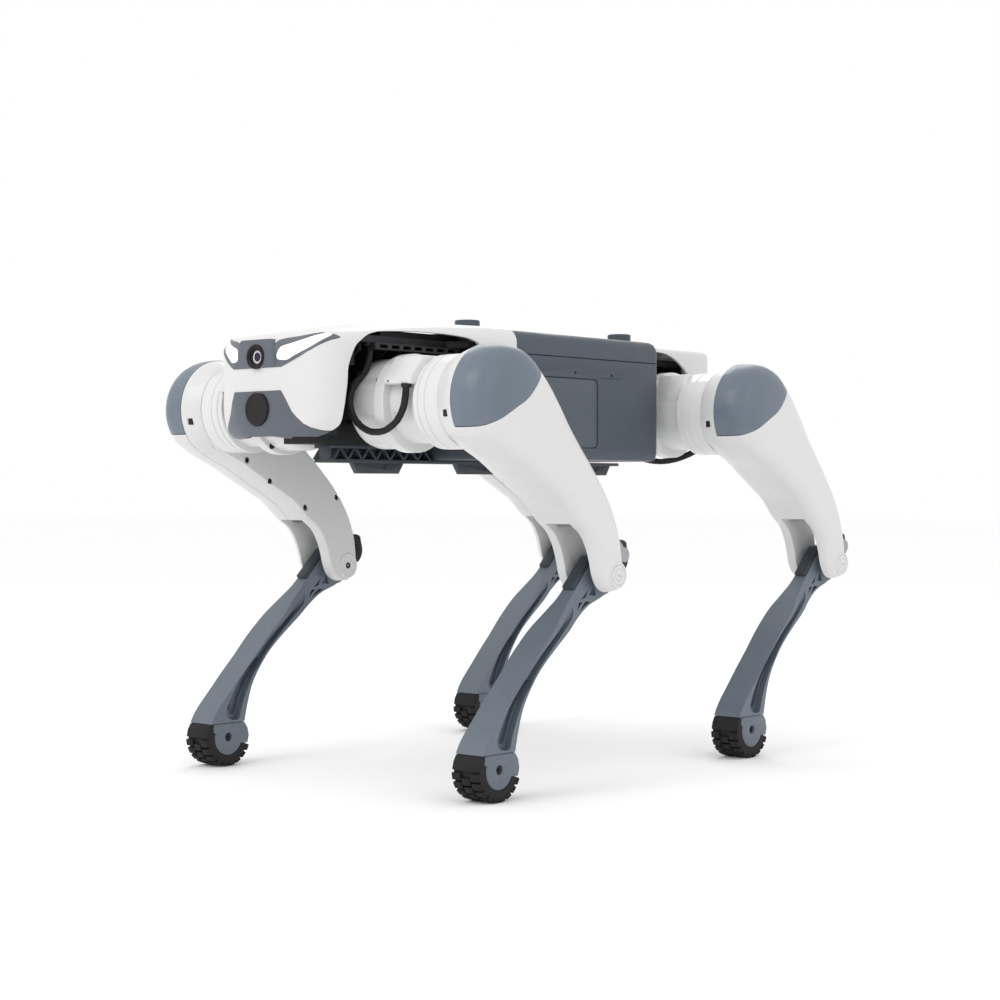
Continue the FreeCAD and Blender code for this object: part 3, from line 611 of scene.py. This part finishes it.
def screw_pocket(spot, face, side, radius=3.4, depth=2.4):
    """A countersink in the side face at y = face."""
    return turned(
        [(0, face + side), (radius + 0.8, face + side), (radius, face - side * 0.6),
         (radius - 0.6, face - side * depth), (0, face - side * depth)],
        at=spot, steps=28,
    )


# Screws of the inner face: x, z and how deep the face is there.
THIGH_SCREWS = [(-17.4, -48.6, 22.1), (-46.3, -69.3, 23.6), (-92.4, -96.1, 25.7), (-136.1, -85.8, 26.2)]


def screw_head(spot, face, side, radius=2.6):
    """A socket screw sunk below the face."""
    base = face - side * 3
    top = face - side * 1.2
    head = turned([(0, base), (radius, base), (radius, top - side * 0.3), (radius - 0.3, top), (0, top)], at=spot, steps=28)
    hexagon = [(spot[0] + 1.3 * math.cos(math.pi / 3 * k), spot[1] + 1.3 * math.sin(math.pi / 3 * k)) for k in range(6)]
    low, high = sorted((top - side * 1.2, top + side))
    return combine(head, [prism(hexagon, low, high)])


def thighs():
    outer = thigh_half(rounding(), 1)
    cap = in_scene("cap", outer.data.copy())
    combine(outer, thigh_tools() + [cap_prism(-0.4), knee_bores(10, 24.6)])
    combine(cap, [cap_prism(0.4)], "INTERSECT")
    combine(cap, thigh_tools())
    inner = thigh_half([(v, h) for v, h in INNER_FACE], -1)
    soften(inner, 2.2, 3, 20)
    combine(inner, thigh_tools() + [knee_bores(-24.6, -10)])
    combine(inner, [screw_pocket((x, z), -face, -1) for x, z, face in THIGH_SCREWS])
    combine(inner, [box((41, -12.4, -15), (52, -6.2, -8.8))])
    leg_piece("thigh_outer_shell", soften(outer, 0.7), "thigh", "white_shell", ["thigh_outer"])
    leg_piece("hip_cap_shell", soften(cap, 0.6), "thigh", "grey_cap", ["hip_cap"])
    leg_piece("thigh_inner_shell", soften(inner, 0.7), "thigh", "white_shell", ["thigh_inner"])
    screws = join([screw_head((x, z), -face, -1) for x, z, face in THIGH_SCREWS], "screws")
    leg_piece("thigh_screws", screws, "thigh", "frame_metal", material=SCREW_STEEL)
    stop = soften(box((42.4, -12.1, -14.7), (45.2, -6.5, -9.1)), 0.4)
    leg_piece("thigh_stop", stop, "thigh", "black_trim")


def knee_trims():
    """The stepped cap outside the knee, and the screwed disc inside it."""
    rings = [
        (0, 25.2), (12.2, 25.2), (12.2, 26.3), (11.6, 26.9), (10.2, 26.9), (9.8, 26.2), (9.2, 26.2),
        (8.8, 27.1), (6.4, 27.3), (6, 26.7), (5.2, 26.7), (4.9, 27.3), (0, 27.5),
    ]
    cap = turned(rings, at=KNEE, steps=64, name="knee_cap")
    crescent = [(KNEE[0] - 3.2, KNEE[1] - 2.2), (KNEE[0] + 3.6, KNEE[1] - 0.8), (KNEE[0] + 3.2, KNEE[1] + 0.8),
                (KNEE[0] - 2.8, KNEE[1] + 0.2)]
    combine(cap, [prism(crescent, 26.6, 29)])
    leg_piece("knee_cap", cap, "thigh", "white_shell")
    disc = turned(
        [(0, -25.2), (13, -25.2), (13, -26.3), (12.4, -26.9), (10.4, -26.9), (10, -26.5), (0, -26.5)],
        at=KNEE, steps=64, name="knee_disc",
    )
    holes = [pin(1.2, -28, -25.6, at=(KNEE[0] + 7 * math.cos(a), KNEE[1] + 7 * math.sin(a)), steps=20)
             for a in (math.pi / 4 + math.pi / 2 * k for k in range(4))]
    combine(disc, holes + [pin(3.4, -28, -25.4, at=KNEE, steps=32)])
    leg_piece("knee_disc", disc, "thigh", "white_shell")
    leg_piece("knee_screw", screw_head(KNEE, -28.0, -1, 3.1), "thigh", "frame_metal", material=SCREW_STEEL)


# ---------------------------------------------------------------- calf and foot
# Ribs across the calf: front x and z, rear x and z, half width.
CALF_RIBS = [
    (-140, -138, -172, -152, 7.3),
    (-133, -148, -166, -168, 7.3),
    (-124, -157, -152, -177, 7.3),
    (-105, -176, -131.5, -184.5, 7.6),
    (-90, -189, -112, -195, 10.5),
    (-72, -205, -93, -207, 15),
    (-50, -225, -72, -222.5, 15.6),
    (-31, -245, -53, -238.5, 15.6),
    (-14, -262, -39, -255, 15.6),
    (2, -279, -29, -271, 15.6),
    (14, -291.5, -23.4, -286.5, 15.6),
    (21, -300.5, -20, -299.5, 15.6),
    (25, -307.6, -18.2, -307.6, 15.6),
]
LEVER = (KNEE[0] - 27, KNEE[1] + 17.7)
FOOT = (2.4, -321.8)
SIDE_POCKET = [
    (-104.8, -185.5), (-90.5, -196.5), (-69, -213), (-48.6, -229.5), (-32.7, -244.6), (-19.3, -258), (-9, -270),
    (2.5, -289), (5.6, -299), (0, -304.5), (-10.5, -305), (-14, -296), (-20.4, -280), (-32, -260), (-48.6, -240.2),
    (-69.4, -220.6), (-88, -205.2), (-104, -194),
]
RECESS = [(-43, -247), (-30, -252), (-18, -266), (-9, -281), (-3, -295), (-7, -300.5), (-12, -297), (-18, -281), (-27, -266)]
TRUSS = [
    [(-120.5, -178.8), (-131, -169.9), (-127.5, -177.2)],
    [(-139.3, -167.1), (-142.6, -176), (-131.5, -175)],
    [(-126, -180.9), (-134.2, -181.2), (-116, -189.6)],
    [(-117, -181.4), (-122.5, -181.2), (-112.5, -188.6)],
]


def calf_form():
    ribs = curved([Vector(r) for r in CALF_RIBS], 4)
    rings = []
    for fx, fz, rx, rz, half in ribs:
        rings.append([(fx, -half, fz), (fx, half, fz), (rx, half, rz), (rx, -half, rz)])
    return loft(rings, "calf_form")


def calves():
    calf = calf_form()
    combine(calf, [pin(19.3, -7.3, 7.3, at=KNEE, steps=64), pin(12, -14.6, 14.6, at=KNEE, steps=64)], "UNION")
    pocket = [(p.x, p.y) for p in curved(SIDE_POCKET, 3, True)]
    recess = [(p.x, p.y) for p in curved(RECESS, 3, True)]
    cuts = [prism(pocket, 8.6, 20), prism(pocket, -20, -8.6), prism(recess, 4.5, 20), prism(recess, -20, -4.5)]
    for triangle in TRUSS:
        cuts += [prism(triangle, 4.2, 20), prism(triangle, -20, -4.2)]
    slot = [(p.x, p.y) for p in curved([(-5.4, -285), (-1.2, -290), (-2.4, -297), (-6.6, -296), (-8, -290)], 4, True)]
    cuts.append(prism(slot, -20, 20))
    combine(calf, cuts)
    soften(calf, 0.8, 2, 34)
    leg_piece("calf_shell", calf, "lower_leg", "grey_calf", ["calf"])
    # A real groove runs down the calf's upper front. The strip laid in it is coloured darker, as painted shade of the
    # recessed face.
    groove = [(-137, -140), (-121, -155.5), (-109, -167.5), (-112, -171), (-125, -159), (-141, -143)]
    strip = prism([(p.x + 0.3, p.y + 0.5) for p in (Vector(g) for g in groove)], -6.2, 6.2)
    leg_piece("calf_front_shade_strip", soften(strip, 0.5), "lower_leg", "grey_calf", material=CALF_STRIP_PAINTED_SHADE)
    trunnion = turned([(0, -24), (5.7, -24), (5.7, 24), (0, 24)], at=KNEE)
    leg_piece("knee_pin", soften(trunnion, 0.4), "lower_leg", "linkage_metal")
    arm = [(p.x, p.y) for p in curved(
        [(-163, -126), (-176, -124.6), (-188, -126.4), (-190.6, -133), (-192.6, -142), (-189.6, -151), (-182, -156), (-168, -158),
         (-156, -150)], 4, True)]
    lever = combine(prism(arm, -7, 7), [pin(4.05, -9, 9, at=LEVER, steps=32)])
    leg_piece("lever_shroud", soften(lever, 1.6, 3), "lower_leg", "black_trim")


def foot_hub():
    """The grey plate under the calf's split line, with a screw in each side."""
    arc = [(FOOT[0] + 17.6 * math.cos(math.radians(a)), FOOT[1] + 17.6 * math.sin(math.radians(a)))
           for a in range(12, -163, -12)]
    outline = [(-18.4, -308.1), (21, -308.1), (21.4, -316.6), (17.9, -317.2)] + arc
    outline += [(-22.5, -329.4), (-24.5, -322), (-22.6, -314)]
    hub = prism(outline, -15.4, 15.4)
    combine(hub, [pin(4.2, 12.2, 20, at=FOOT, steps=36), pin(4.2, -20, -12.2, at=FOOT, steps=36)])
    leg_piece("foot_hub", soften(hub, 0.7), "lower_leg", "grey_calf")
    screws = join([screw_head(FOOT, 14.6 * side, side, 3.9) for side in (1, -1)], "screws")
    leg_piece("foot_screws", screws, "lower_leg", "frame_metal", material=SCREW_STEEL)


def arc_block(inner, outer, start, end, low, high, steps):
    """A block of tread between two radii and two angles in degrees, clockwise from the front."""
    outline = []
    for radius, order in ((outer, 1), (inner, -1)):
        angles = [math.radians(start + (end - start) * k / steps) for k in range(steps + 1)][::order]
        outline += [(FOOT[0] + radius * math.cos(a), FOOT[1] + radius * math.sin(a)) for a in angles]
    return prism(outline, low, high)


def treads():
    """The rubber foot: a band round the hub, a smooth flap in front and lugs in three columns."""
    band = arc_block(17.8, 25.4, 11, -160, -15.2, 15.2, 36)
    flap = prism([(25.3, -307.9), (21.4, -307.9), (21.8, -317), (19.8, -317.4), (20.4, -322), (30.6, -321), (29, -314)], -15.4, 15.4)
    pieces = [band, soften(flap, 1.0)]
    pitch, lug = 18, 13.4
    columns = [(-15.6, -5.9, 0), (-4.7, 4.7, 0.5), (5.9, 15.6, 0)]
    for low, high, shift in columns:
        for row in range(9):
            start = -3 - (row + shift) * pitch
            end = max(start - lug, -160)
            if start - end > 4:
                pieces.append(soften(arc_block(25.0, 28.5, start, end, low, high, 4), 0.6))
    leg_piece("foot_tread", join(pieces, "tread"), "lower_leg", "tread_rubber", ["foot"])


# ---------------------------------------------------------------- hip
HIP_PROFILE = [
    (0, -139.2), (24, -139), (31, -138), (36, -135.6), (39.4, -131.6), (41, -126.3), (41, -99), (40.2, -97.6),
    (44, -97.3), (44.6, -96.7), (44.6, -86), (44, -85.4), (36.5, -85), (36.5, -51.3), (41.4, -51.3), (42, -50.7),
    (42, -46), (41.4, -45.6), (41.4, -44.8), (42.3, -44.4), (42.3, -37.6), (41.6, -37.2), (41.6, -36.4), (42.3, -36),
    (42.3, -22.2), (41.7, -21.6), (0, -21.6),
]
LIP = [(44.4, 15), (44.4, 22), (28, 40.6), (-24, 40.6), (-34, 20), (-34, 8), (20, 8), (33, 15)]


def hips():
    housing = turned(HIP_PROFILE, steps=96, name="housing")
    lip = soften(prism(LIP, -85.6, -50.6), 1.6, 3)
    combine(housing, [lip], "UNION")
    collar = turned([(0, -12), (20, -12), (20, -54.5), (12, -54.5), (12, -68), (0, -68)], "X", (-106.3, 0), 64, "collar")
    combine(housing, [collar], "UNION")
    cuts = []
    for angle in (-62, -20, 28, 152, 200, 242):
        spot = (41.2 * math.cos(math.radians(angle)), 41.2 * math.sin(math.radians(angle)))
        cuts.append(pin(3.2, -99, -92, at=spot, steps=28))
    cuts += [pin(1.3, 40, 50, "X", (-79, 18), 20), pin(1.3, 34, 40, "X", (-79, -10), 20)]
    combine(housing, cuts)
    leg_piece("hip_shell", soften(housing, 0.6), "hip", "white_shell", ["hip_housing"], turn=True)
    stops = join([
        pin(2.5, -99.2, -93.6, at=(41.2 * math.cos(math.radians(-62)), 41.2 * math.sin(math.radians(-62))), steps=28),
        pin(2.5, -99.2, -93.6, at=(41.2 * math.cos(math.radians(28)), 41.2 * math.sin(math.radians(28))), steps=28),
        pin(2.5, -99.2, -93.6, at=(41.2 * math.cos(math.radians(152)), 41.2 * math.sin(math.radians(152))), steps=28),
        pin(2.5, -99.2, -93.6, at=(41.2 * math.cos(math.radians(242)), 41.2 * math.sin(math.radians(242))), steps=28),
    ], "stops")
    leg_piece("hip_screws", soften(stops, 0.3), "hip", "frame_metal", material=SCREW_STEEL, turn=True)
    gland = turned([(3.25, 0.6), (4.8, 0.6), (4.5, -2.6), (3.25, -2.6)], "Z", (41.3, -59.3), 32, "gland")
    gland.data.transform(Matrix.Translation((0, 0, 14.6)))
    leg_piece("cable_gland", gland, "hip", "cable_rubber", turn=True)


# ---------------------------------------------------------------- front shell and head
FRONT_POST_X, REAR_POST_X = 126.5, -108.5
# Sections of the head and canopy, back to front: x, half width, roof edge, roof middle, how far the corner
# reaches inward and down, underside.
HEAD_SECTIONS = [
    (122.3, 120.4, 423, 430.5, 14, 14, 330),
    (131, 115, 424, 430.5, 15, 15, 330),
    (140, 110.5, 424.5, 430.5, 16, 16, 330),
    (160, 102.4, 424.5, 430.5, 17, 17, 330),
    (180, 96.5, 424, 430.2, 17, 17, 330),
    (200, 92.2, 423, 429.3, 17, 17, 330),
    (240, 84.2, 419.5, 424, 16, 16, 326),
    (270, 78.8, 416, 418.8, 13, 13, 321),
    (292, 75.4, 413.5, 416.3, 11, 11, 318),
    (304, 72.8, 412, 414, 8, 8, 317.6),
    (314, 68.4, 410.5, 412, 9, 8, 317.6),
    (322, 62, 408.5, 409.8, 11.5, 10.5, 317.6),
    (328.5, 51.6, 406.6, 407.6, 11.5, 15, 317.6),
    (333.6, 40, 404.6, 405.4, 12, 19, 319.5),
    (336, 33.4, 402.8, 403.6, 11.5, 22, 323),
    (336.9, 30.4, 401.4, 402, 9, 21, 327),]
# The lower flank, as distances inward and up from its corner: square at the back and keel-shaped at the nose.
BACK_FLANK = [(2.5, 0), (1.2, 3), (0.4, 6), (0, 14), (0, 30)]
NOSE_FLANK = [(16, 0), (9, 4.5), (4.6, 10), (1.6, 18), (0, 30)]


def head_form(grow=0.0, open_to=None):
    """The head's whole outer form, grown or shrunk by a distance, and perhaps open below."""
    rings = []
    for x, half, edge, middle, inward, drop, floor in (tuple(s) for s in curved(HEAD_SECTIONS, 3)):
        half, edge, middle, low = half + grow, edge + grow, middle + grow, floor - grow
        nose = min(1, max(0, (x - 290) / 16))
        side = []
        for (back_in, back_up), (nose_in, nose_up) in zip(BACK_FLANK, NOSE_FLANK):
            side.append((half - back_in - (nose_in - back_in) * nose, low + back_up + (nose_up - back_up) * nose))
        if open_to is not None:
            side[0] = (side[0][0], open_to)
        for k in range(7):
            angle = math.pi / 2 * k / 6
            across = 1 - math.cos(angle) + (k / 6 - 1 + math.cos(angle)) * nose
            up = math.sin(angle) + (k / 6 - math.sin(angle)) * nose
            side.append((half - inward * across, edge - drop + drop * up))
        reach = half - inward
        for k in range(1, 7):
            t = 1 - k / 6
            side.append((reach * t, edge + (middle - edge) * (1 - t * t)))
        ring = side + [(-y, z) for y, z in reversed(side[:-1])]
        rings.append([(x + (grow if x > 330 else 0), y, z) for y, z in ring])
    return loft(rings, "head_form")


ARCH = [
    (149, 397), (153, 402), (157, 408), (163, 411), (169, 412.7), (188.5, 414.8), (220, 415.8), (254, 414.6),
    (265, 412.9), (274, 410.2), (282, 405.5), (289.4, 398.7), (296.3, 382), (297.6, 366.4), (301, 343),
    (302.6, 331.3), (305, 327), (309, 322.6), (315, 317), (316, 300),
]
CHIN = [
    (345, 361.4), (337, 361.4), (336.4, 359.8), (334.3, 348.8), (332.6, 341.4), (330.7, 336.3), (327.5, 330.4),
    (323.6, 327), (316.2, 324.6), (309.6, 323.9), (306, 324.4), (285, 324.4),
]
# The visor's lower edge from the front and from the side, and its upper edge from above.
VISOR_FRONT = [
    (0, 379.6), (27, 379.6), (31.7, 380.2), (42.4, 385.7), (56.1, 394.2), (66.2, 401.5), (72, 406.5), (80, 412),
]
VISOR_SIDE = [
    (345, 380.2), (337.2, 380.2), (333.3, 385.7), (326.3, 394.2), (315.9, 401.5), (303, 406.4), (300.4, 408),
    (299.5, 410), (300.2, 412), (302, 414), (306, 420),
]
VISOR_TOP = [(336.4, 22.3), (325.8, 45), (311.8, 62), (305.5, 68), (301.4, 73), (297, 80)]
LIGHT = [
    (25.3, 388.6), (28.5, 386.6), (36.4, 386.6), (42.4, 390.1), (56, 397.8), (63.4, 404), (66.6, 408.4),
    (64.6, 410.6), (59, 409.6), (47.3, 404.6), (36, 401), (29, 399), (25.8, 395),
]


def arch_prism():
    curve = [(p.x, p.y) for p in curved(ARCH, 3)]
    return prism([(110, 300), (110, 397)] + curve, -125, 125)


def chin_prism(shift):
    edge = [(x, z + shift) for x, z in CHIN]
    return prism(edge + [(285, 290), (345, 290)], -120, 120)


def visor_region(shift):
    """The space the visor fills, with its edges moved inward by shift."""
    front = [(y, z + shift) for y, z in VISOR_FRONT] + [(80, 430)]
    region = prism(front + [(-y, z) for y, z in reversed(front) if y > 0], 290, 350, "X")
    side = prism([(x, z + shift) for x, z in VISOR_SIDE] + [(306, 430), (345, 430)], -90, 90)
    top = [(x + shift, y) for x, y in VISOR_TOP] + [(297 + shift, 90), (350, 90)]
    above = prism(top + [(x, -y) for x, y in reversed(top)], 370, 425, "Z")
    return combine(region, [side, above], "INTERSECT")


def light_prism(side, shrink, low, high):
    middle = Vector((44, 398))
    outline = [(p - middle) * (1 - shrink) + middle for p in curved(LIGHT, 3, True)]
    return prism([(side * p.x, p.y) for p in outline], low, high, "X")


def head():
    shell = head_form()
    combine(shell, [head_form(-3, 290), arch_prism(), chin_prism(0.3), visor_region(0)])
    combine(shell, [pin(12.4, 405, 445, "Z", (FRONT_POST_X, y), 64) for y in (62, -62)])
    trunk_piece("front_canopy", soften(shell, 0.9, 3), "white_shell", ["front_shell"])

    guard = combine(head_form(-0.3), [chin_prism(-0.3)], "INTERSECT")
    combine(guard, [head_form(-4, 290), arch_prism(), pin(15.3, 320, 350, "X", (0, 344), 72)])
    trunk_piece("nose_panel", soften(guard, 1.2, 3), "grey_cap", ["nose_guard"], DARK_SLATE)
    rim = [(0, 326), (14.9, 326), (14.9, 337.6), (14.2, 338.6), (13, 338.8), (12.4, 338.2), (0, 338.2)]
    trunk_piece("nose_cover", turned(rim, "X", (0, 344), 72), "black_trim", ["nose_disc"])

    brow = combine(head_form(0.4), [visor_region(0.35)], "INTERSECT")
    combine(brow, [head_form(-5, 290)])
    outline = [(-24, 380.8), (24, 380.8), (23, 403), (20, 406), (-20, 406), (-23, 403)]
    combine(brow, [soften(prism(outline, 318, 338.6, "X"), 1.5, 3)], "UNION")
    cuts = [light_prism(side, 0.0, 290, 350) for side in (1, -1)]
    combine(brow, cuts + [pin(11.2, 310, 350, "X", (0, 390.6), 72)])
    trunk_piece("visor_brow", soften(brow, 0.7), "grey_cap", ["visor"], DARK_SLATE)
    for side, name in ((1, "left"), (-1, "right")):
        strip = combine(head_form(0.1), [light_prism(side, 0.03, 290, 350)], "INTERSECT")
        combine(strip, [head_form(-5, 290)])
        trunk_piece(f"light_{name}", soften(strip, 0.4), "light_strip", ["headlights"] if side > 0 else ())


def camera_eye():
    """The round camera: its barrel, stepped bezel and domed glass."""
    bezel = turned(
        [(0, 322), (10.8, 322), (10.8, 339.6), (10.2, 340.4), (9.2, 340.4), (8.6, 339.4), (7.6, 339), (7.2, 337.6),
         (6, 337.2), (5.6, 335), (0, 335)], "X", (0, 390.4), 72)
    trunk_piece("camera_bezel", bezel, "black_trim", ["camera"], sharp=50)
    glass = turned([(0, 334), (5.5, 334), (5.5, 335.4), (4.4, 336.3), (2.6, 336.9), (0, 337.1)], "X", (0, 390.4), 48)
    trunk_piece("camera_glass", glass, "black_trim", material=LENS_GLASS)
    ring = turned([(6.2, 337.2), (7.1, 337.5), (7.1, 337.9), (6.2, 337.7)], "X", (0, 390.4), 64)
    trunk_piece("camera_ring", ring, "black_trim")


# ---------------------------------------------------------------- box
BOX_REAR, BOX_FRONT, BOX_HALF = -116.5, 122, 110
BOX_FLOOR, LID_LINE, BOX_TOP = 301, 400.5, 423
LEDGE_SCREWS = [(78.5, 385.7), (22.8, 386.1), (-34.4, 385.3)]


def box_ring(inset, height, radius):
    outline = rounded_outline(
        (BOX_REAR + inset, inset - BOX_HALF), (BOX_FRONT - inset * 0.2, BOX_HALF - inset), max(1.5, radius - inset), 6
    )
    return [(x, y, height) for x, y in outline]


def body_boxes():
    radius = 11
    rings = [box_ring(8, BOX_FLOOR, radius), box_ring(3.2, BOX_FLOOR + 1, radius), box_ring(0.9, BOX_FLOOR + 4, radius),
             box_ring(0, BOX_FLOOR + 9, radius), box_ring(0, LID_LINE - 0.5, radius), box_ring(0.7, LID_LINE - 0.1, radius)]
    tub = loft(rings, "tub")
    cuts = [box((BOX_REAR + 3, -107, BOX_FLOOR + 3), (BOX_FRONT - 3, 107, LID_LINE + 2))]
    for side in (1, -1):
        low, high = sorted((side * 107.6, side * 113))
        panel = rounded_outline((-12.9, 312.8), (104, 381), 6)
        cuts.append(prism(panel, low, high))
        ledge_low, ledge_high = sorted((side * 109.3, side * 113))
        cuts.append(prism([(-47.7, 382), (-12.8, 382), (-12.8, 382.7), (-47.7, 382.7)], ledge_low, ledge_high))
        cuts += [pin(1.6, *sorted((side * 108, side * 113)), at=spot, steps=20) for spot in LEDGE_SCREWS]
        cuts.append(pin(25, BOX_REAR - 2, BOX_REAR + 6, "X", (side * 71, 350.3), 48))
    combine(tub, cuts)
    trunk_piece("box_tub", soften(tub, 0.7), "slate_box", ["body_box"])

    rings = [box_ring(0.7, LID_LINE + 0.3, radius), box_ring(0, LID_LINE + 0.8, radius), box_ring(0, BOX_TOP - 12, radius),
             box_ring(0.9, BOX_TOP - 7.4, radius), box_ring(3.4, BOX_TOP - 3.4, radius), box_ring(7.4, BOX_TOP - 0.9, radius),
             box_ring(12, BOX_TOP, radius)]
    lid = loft(rings, "lid")
    cuts = [box((BOX_REAR + 3, -104, LID_LINE - 2), (BOX_FRONT - 3, 104, BOX_TOP - 3.4))]
    cuts += [pin(12.3, 408, 440, "Z", (x, y), 64) for x in (FRONT_POST_X, REAR_POST_X) for y in (62, -62)]
    cuts.append(prism(rounded_outline((-80, -64), (92, 64), 8), BOX_TOP - 0.8, BOX_TOP + 2, "Z"))
    combine(lid, cuts)
    trunk_piece("box_lid", soften(lid, 0.6), "slate_box", ["body_lid"])

    covers = []
    for side in (1, -1):
        low, high = sorted((side * 107.7, side * 109.2))
        covers.append(soften(prism(rounded_outline((-12.3, 313.4), (103.4, 380.4), 5.4), low, high), 0.6))
    trunk_piece("side_panels", join(covers, "covers"), "slate_box", ["side_covers"], PANEL_SLATE)
    heads = []
    for side in (1, -1):
        for spot in LEDGE_SCREWS:
            heads.append(pin(1.45, *sorted((side * 108.2, side * 109.4)), at=spot, steps=20))
    trunk_piece("ledge_screws", join(heads, "ledge_screws"), "frame_metal", material=SCREW_STEEL)


def posts():
    """Round payload posts, each with a rim, a dished top and a threaded hole."""
    made = []
    for x in (FRONT_POST_X, REAR_POST_X):
        for y in (62, -62):
            made.append(turned(
                [(0, 411.3), (12, 411.3), (12, 431.8), (11.2, 432.8), (9.4, 433), (8.8, 432.4), (4.6, 432.2), (4, 433),
                 (2.9, 433), (2.5, 432.4), (2.5, 419), (0, 419)], "Z", (x, y), 64))
    trunk_piece("post_tops", join(made, "posts"), "slate_box", ["payload_posts"])


# ---------------------------------------------------------------- rear shell
REAR_SECTIONS = [
    (-116.9, 72, 421, 424.4, 5), (-150, 72, 421.5, 424.5, 5), (-190, 72, 421.5, 424.5, 5), (-222, 72, 421.5, 424.4, 5),
    (-242, 71.6, 421.5, 424.2, 5), (-251, 71, 421.3, 424, 5), (-256.6, 69, 420, 422.5, 5), (-259, 64, 416, 418.5, 5),
]


def rear_form(grow=0.0, underside=350):
    rings = []
    for x, half, edge, middle, radius in (tuple(s) for s in curved(REAR_SECTIONS, 3)):
        half, edge, middle = half + grow, edge + grow, middle + grow
        side = [(half, underside), (half, (underside + edge) / 2)]
        for k in range(7):
            angle = math.pi / 2 * k / 6
            side.append((half - radius + radius * math.cos(angle), edge - radius + radius * math.sin(angle)))
        for k in range(1, 5):
            t = 1 - k / 4
            side.append(((half - radius) * t, edge + (middle - edge) * (1 - t * t)))
        ring = side + [(-y, z) for y, z in reversed(side[:-1])]
        rings.append([(x - (grow if x < -250 else 0), y, z) for y, z in ring])
    return loft(rings, "rear_form")


def tail():
    shell = rear_form()
    arch = [(-163 + 73 * math.cos(math.radians(a)), 350.3 + 67 * math.sin(math.radians(a))) for a in range(0, 181, 6)]
    arch += [(-236, 330), (-90, 330)]
    combine(shell, [rear_form(-3, 330), prism(arch, -120, 120)])
    combine(shell, [pin(12.4, 405, 445, "Z", (REAR_POST_X, y), 64) for y in (62, -62)])
    vents = [prism(rounded_outline((y, 366), (y + 4, 388), 1.9, 3), -270, -240, "X") for y in range(-30, 30, 9)]
    combine(shell, vents)
    trunk_piece("tail_shell", soften(shell, 0.8, 3), "white_shell", ["rear_shell"])


# ---------------------------------------------------------------- belly and inner frame
def belly():
    """The keel: two rails with a zigzag of ribs, cross bars, three skid plates and a dark middle web that blocks the
    light behind the ribs as painted shade.
    """
    # The second box is the middle web. It is a dark sheet behind the ribs, put there so that their gaps show painted
    # shade instead of the bright floor.
    rails = [box((-170, -8, 298.4), (254, 8, 300.4)), box((122.8, -4, 300), (253.6, 4, 313.4))]
    for y in (-14, 7.6):
        rails.append(box((-170, y, 297.5), (254, y + 6.4, 300.7)))
        rails.append(box((122.6, y, 310.6), (254, y + 6.4, 313.8)))
        for index in range(7):
            x = 124 + index * 18.6
            lean = [(x, 300.2), (x + 2.6, 300.2), (x + 11.2, 311), (x + 8.6, 311)]
            back = [(x + 18.6, 300.2), (x + 21.2, 300.2), (x + 12.6, 311), (x + 10, 311)]
            rails += [prism(lean, y + 0.3, y + 6.1), prism(back, y + 0.3, y + 6.1)]
    for x in (124, 160, 196, 232, 251):
        rails.append(box((x, -8, 300), (x + 3, 8, 313.6)))
    for left, right, spot in ((151.6, 220.4, 179), (8.4, 77.2, 36), (-169.5, -100.7, -144)):
        skid = prism([(left, 298), (left + 7, 287.6), (right - 7, 287.6), (right, 298)], -3, 3)
        mark = [(spot - 4, 296.6), (spot + 4, 296.6), (spot, 291.6)]
        rails.append(soften(combine(skid, [prism(mark, 2.3, 5), prism(mark, -5, -2.3)]), 0.5))
    trunk_piece("belly_rails", join([soften(r, 0.35) if len(r.data.vertices) == 8 else r for r in rails], "belly"),
                "belly_plastic", ["belly_frame"])


def inner_frame():
    """Ribs, brackets and a slotted ledge that show through the wheel arches."""
    made = []
    for side in (1, -1):
        low, high = sorted((side * 66, side * 74))
        ledge = box((150, low, 398), (262, high, 404.4))
        slots = [box((x, low - 1, 399.6), (x + 10, high + 1, 402.6)) for x in range(156, 250, 15)]
        made.append(soften(combine(ledge, slots), 0.4))
        low, high = sorted((side * 17, side * 60))
        for x in (196, 214, 232, 266):
            web = prism([(low, 404.6), (high, 404.6), (high, 398), (side * 17 if side < 0 else low, 372), (low, 372)], x, x + 3, "X")
            made.append(web)
        low, high = sorted((side * 16.2, side * 20))
        for z in (330, 352, 374):
            made.append(box((182, low, z), (284, high, z + 3)))
        low, high = sorted((side * 52, side * 55))
        made.append(box((270, low, 384), (287, high, 404.4)))
    made.append(soften(box((126, -58, 411.3), (240, 58, 417.4)), 0.8))
    trunk_piece("arch_ribs", join(made, "ribs"), "frame_metal")


camera()
studio()
cables()
thighs()
knee_trims()
calves()
foot_hub()
treads()
hips()
head()
camera_eye()
body_boxes()
posts()
tail()
belly()
inner_frame()

for name, node in frame["nodes"].items():
    if not node.hide_render:
        slots = {part["node"]: part["material_slot"] for part in frame["record"]["subparts"]}
        node.data.materials.clear()
        node.data.materials.append(FINISH[slots[name]])
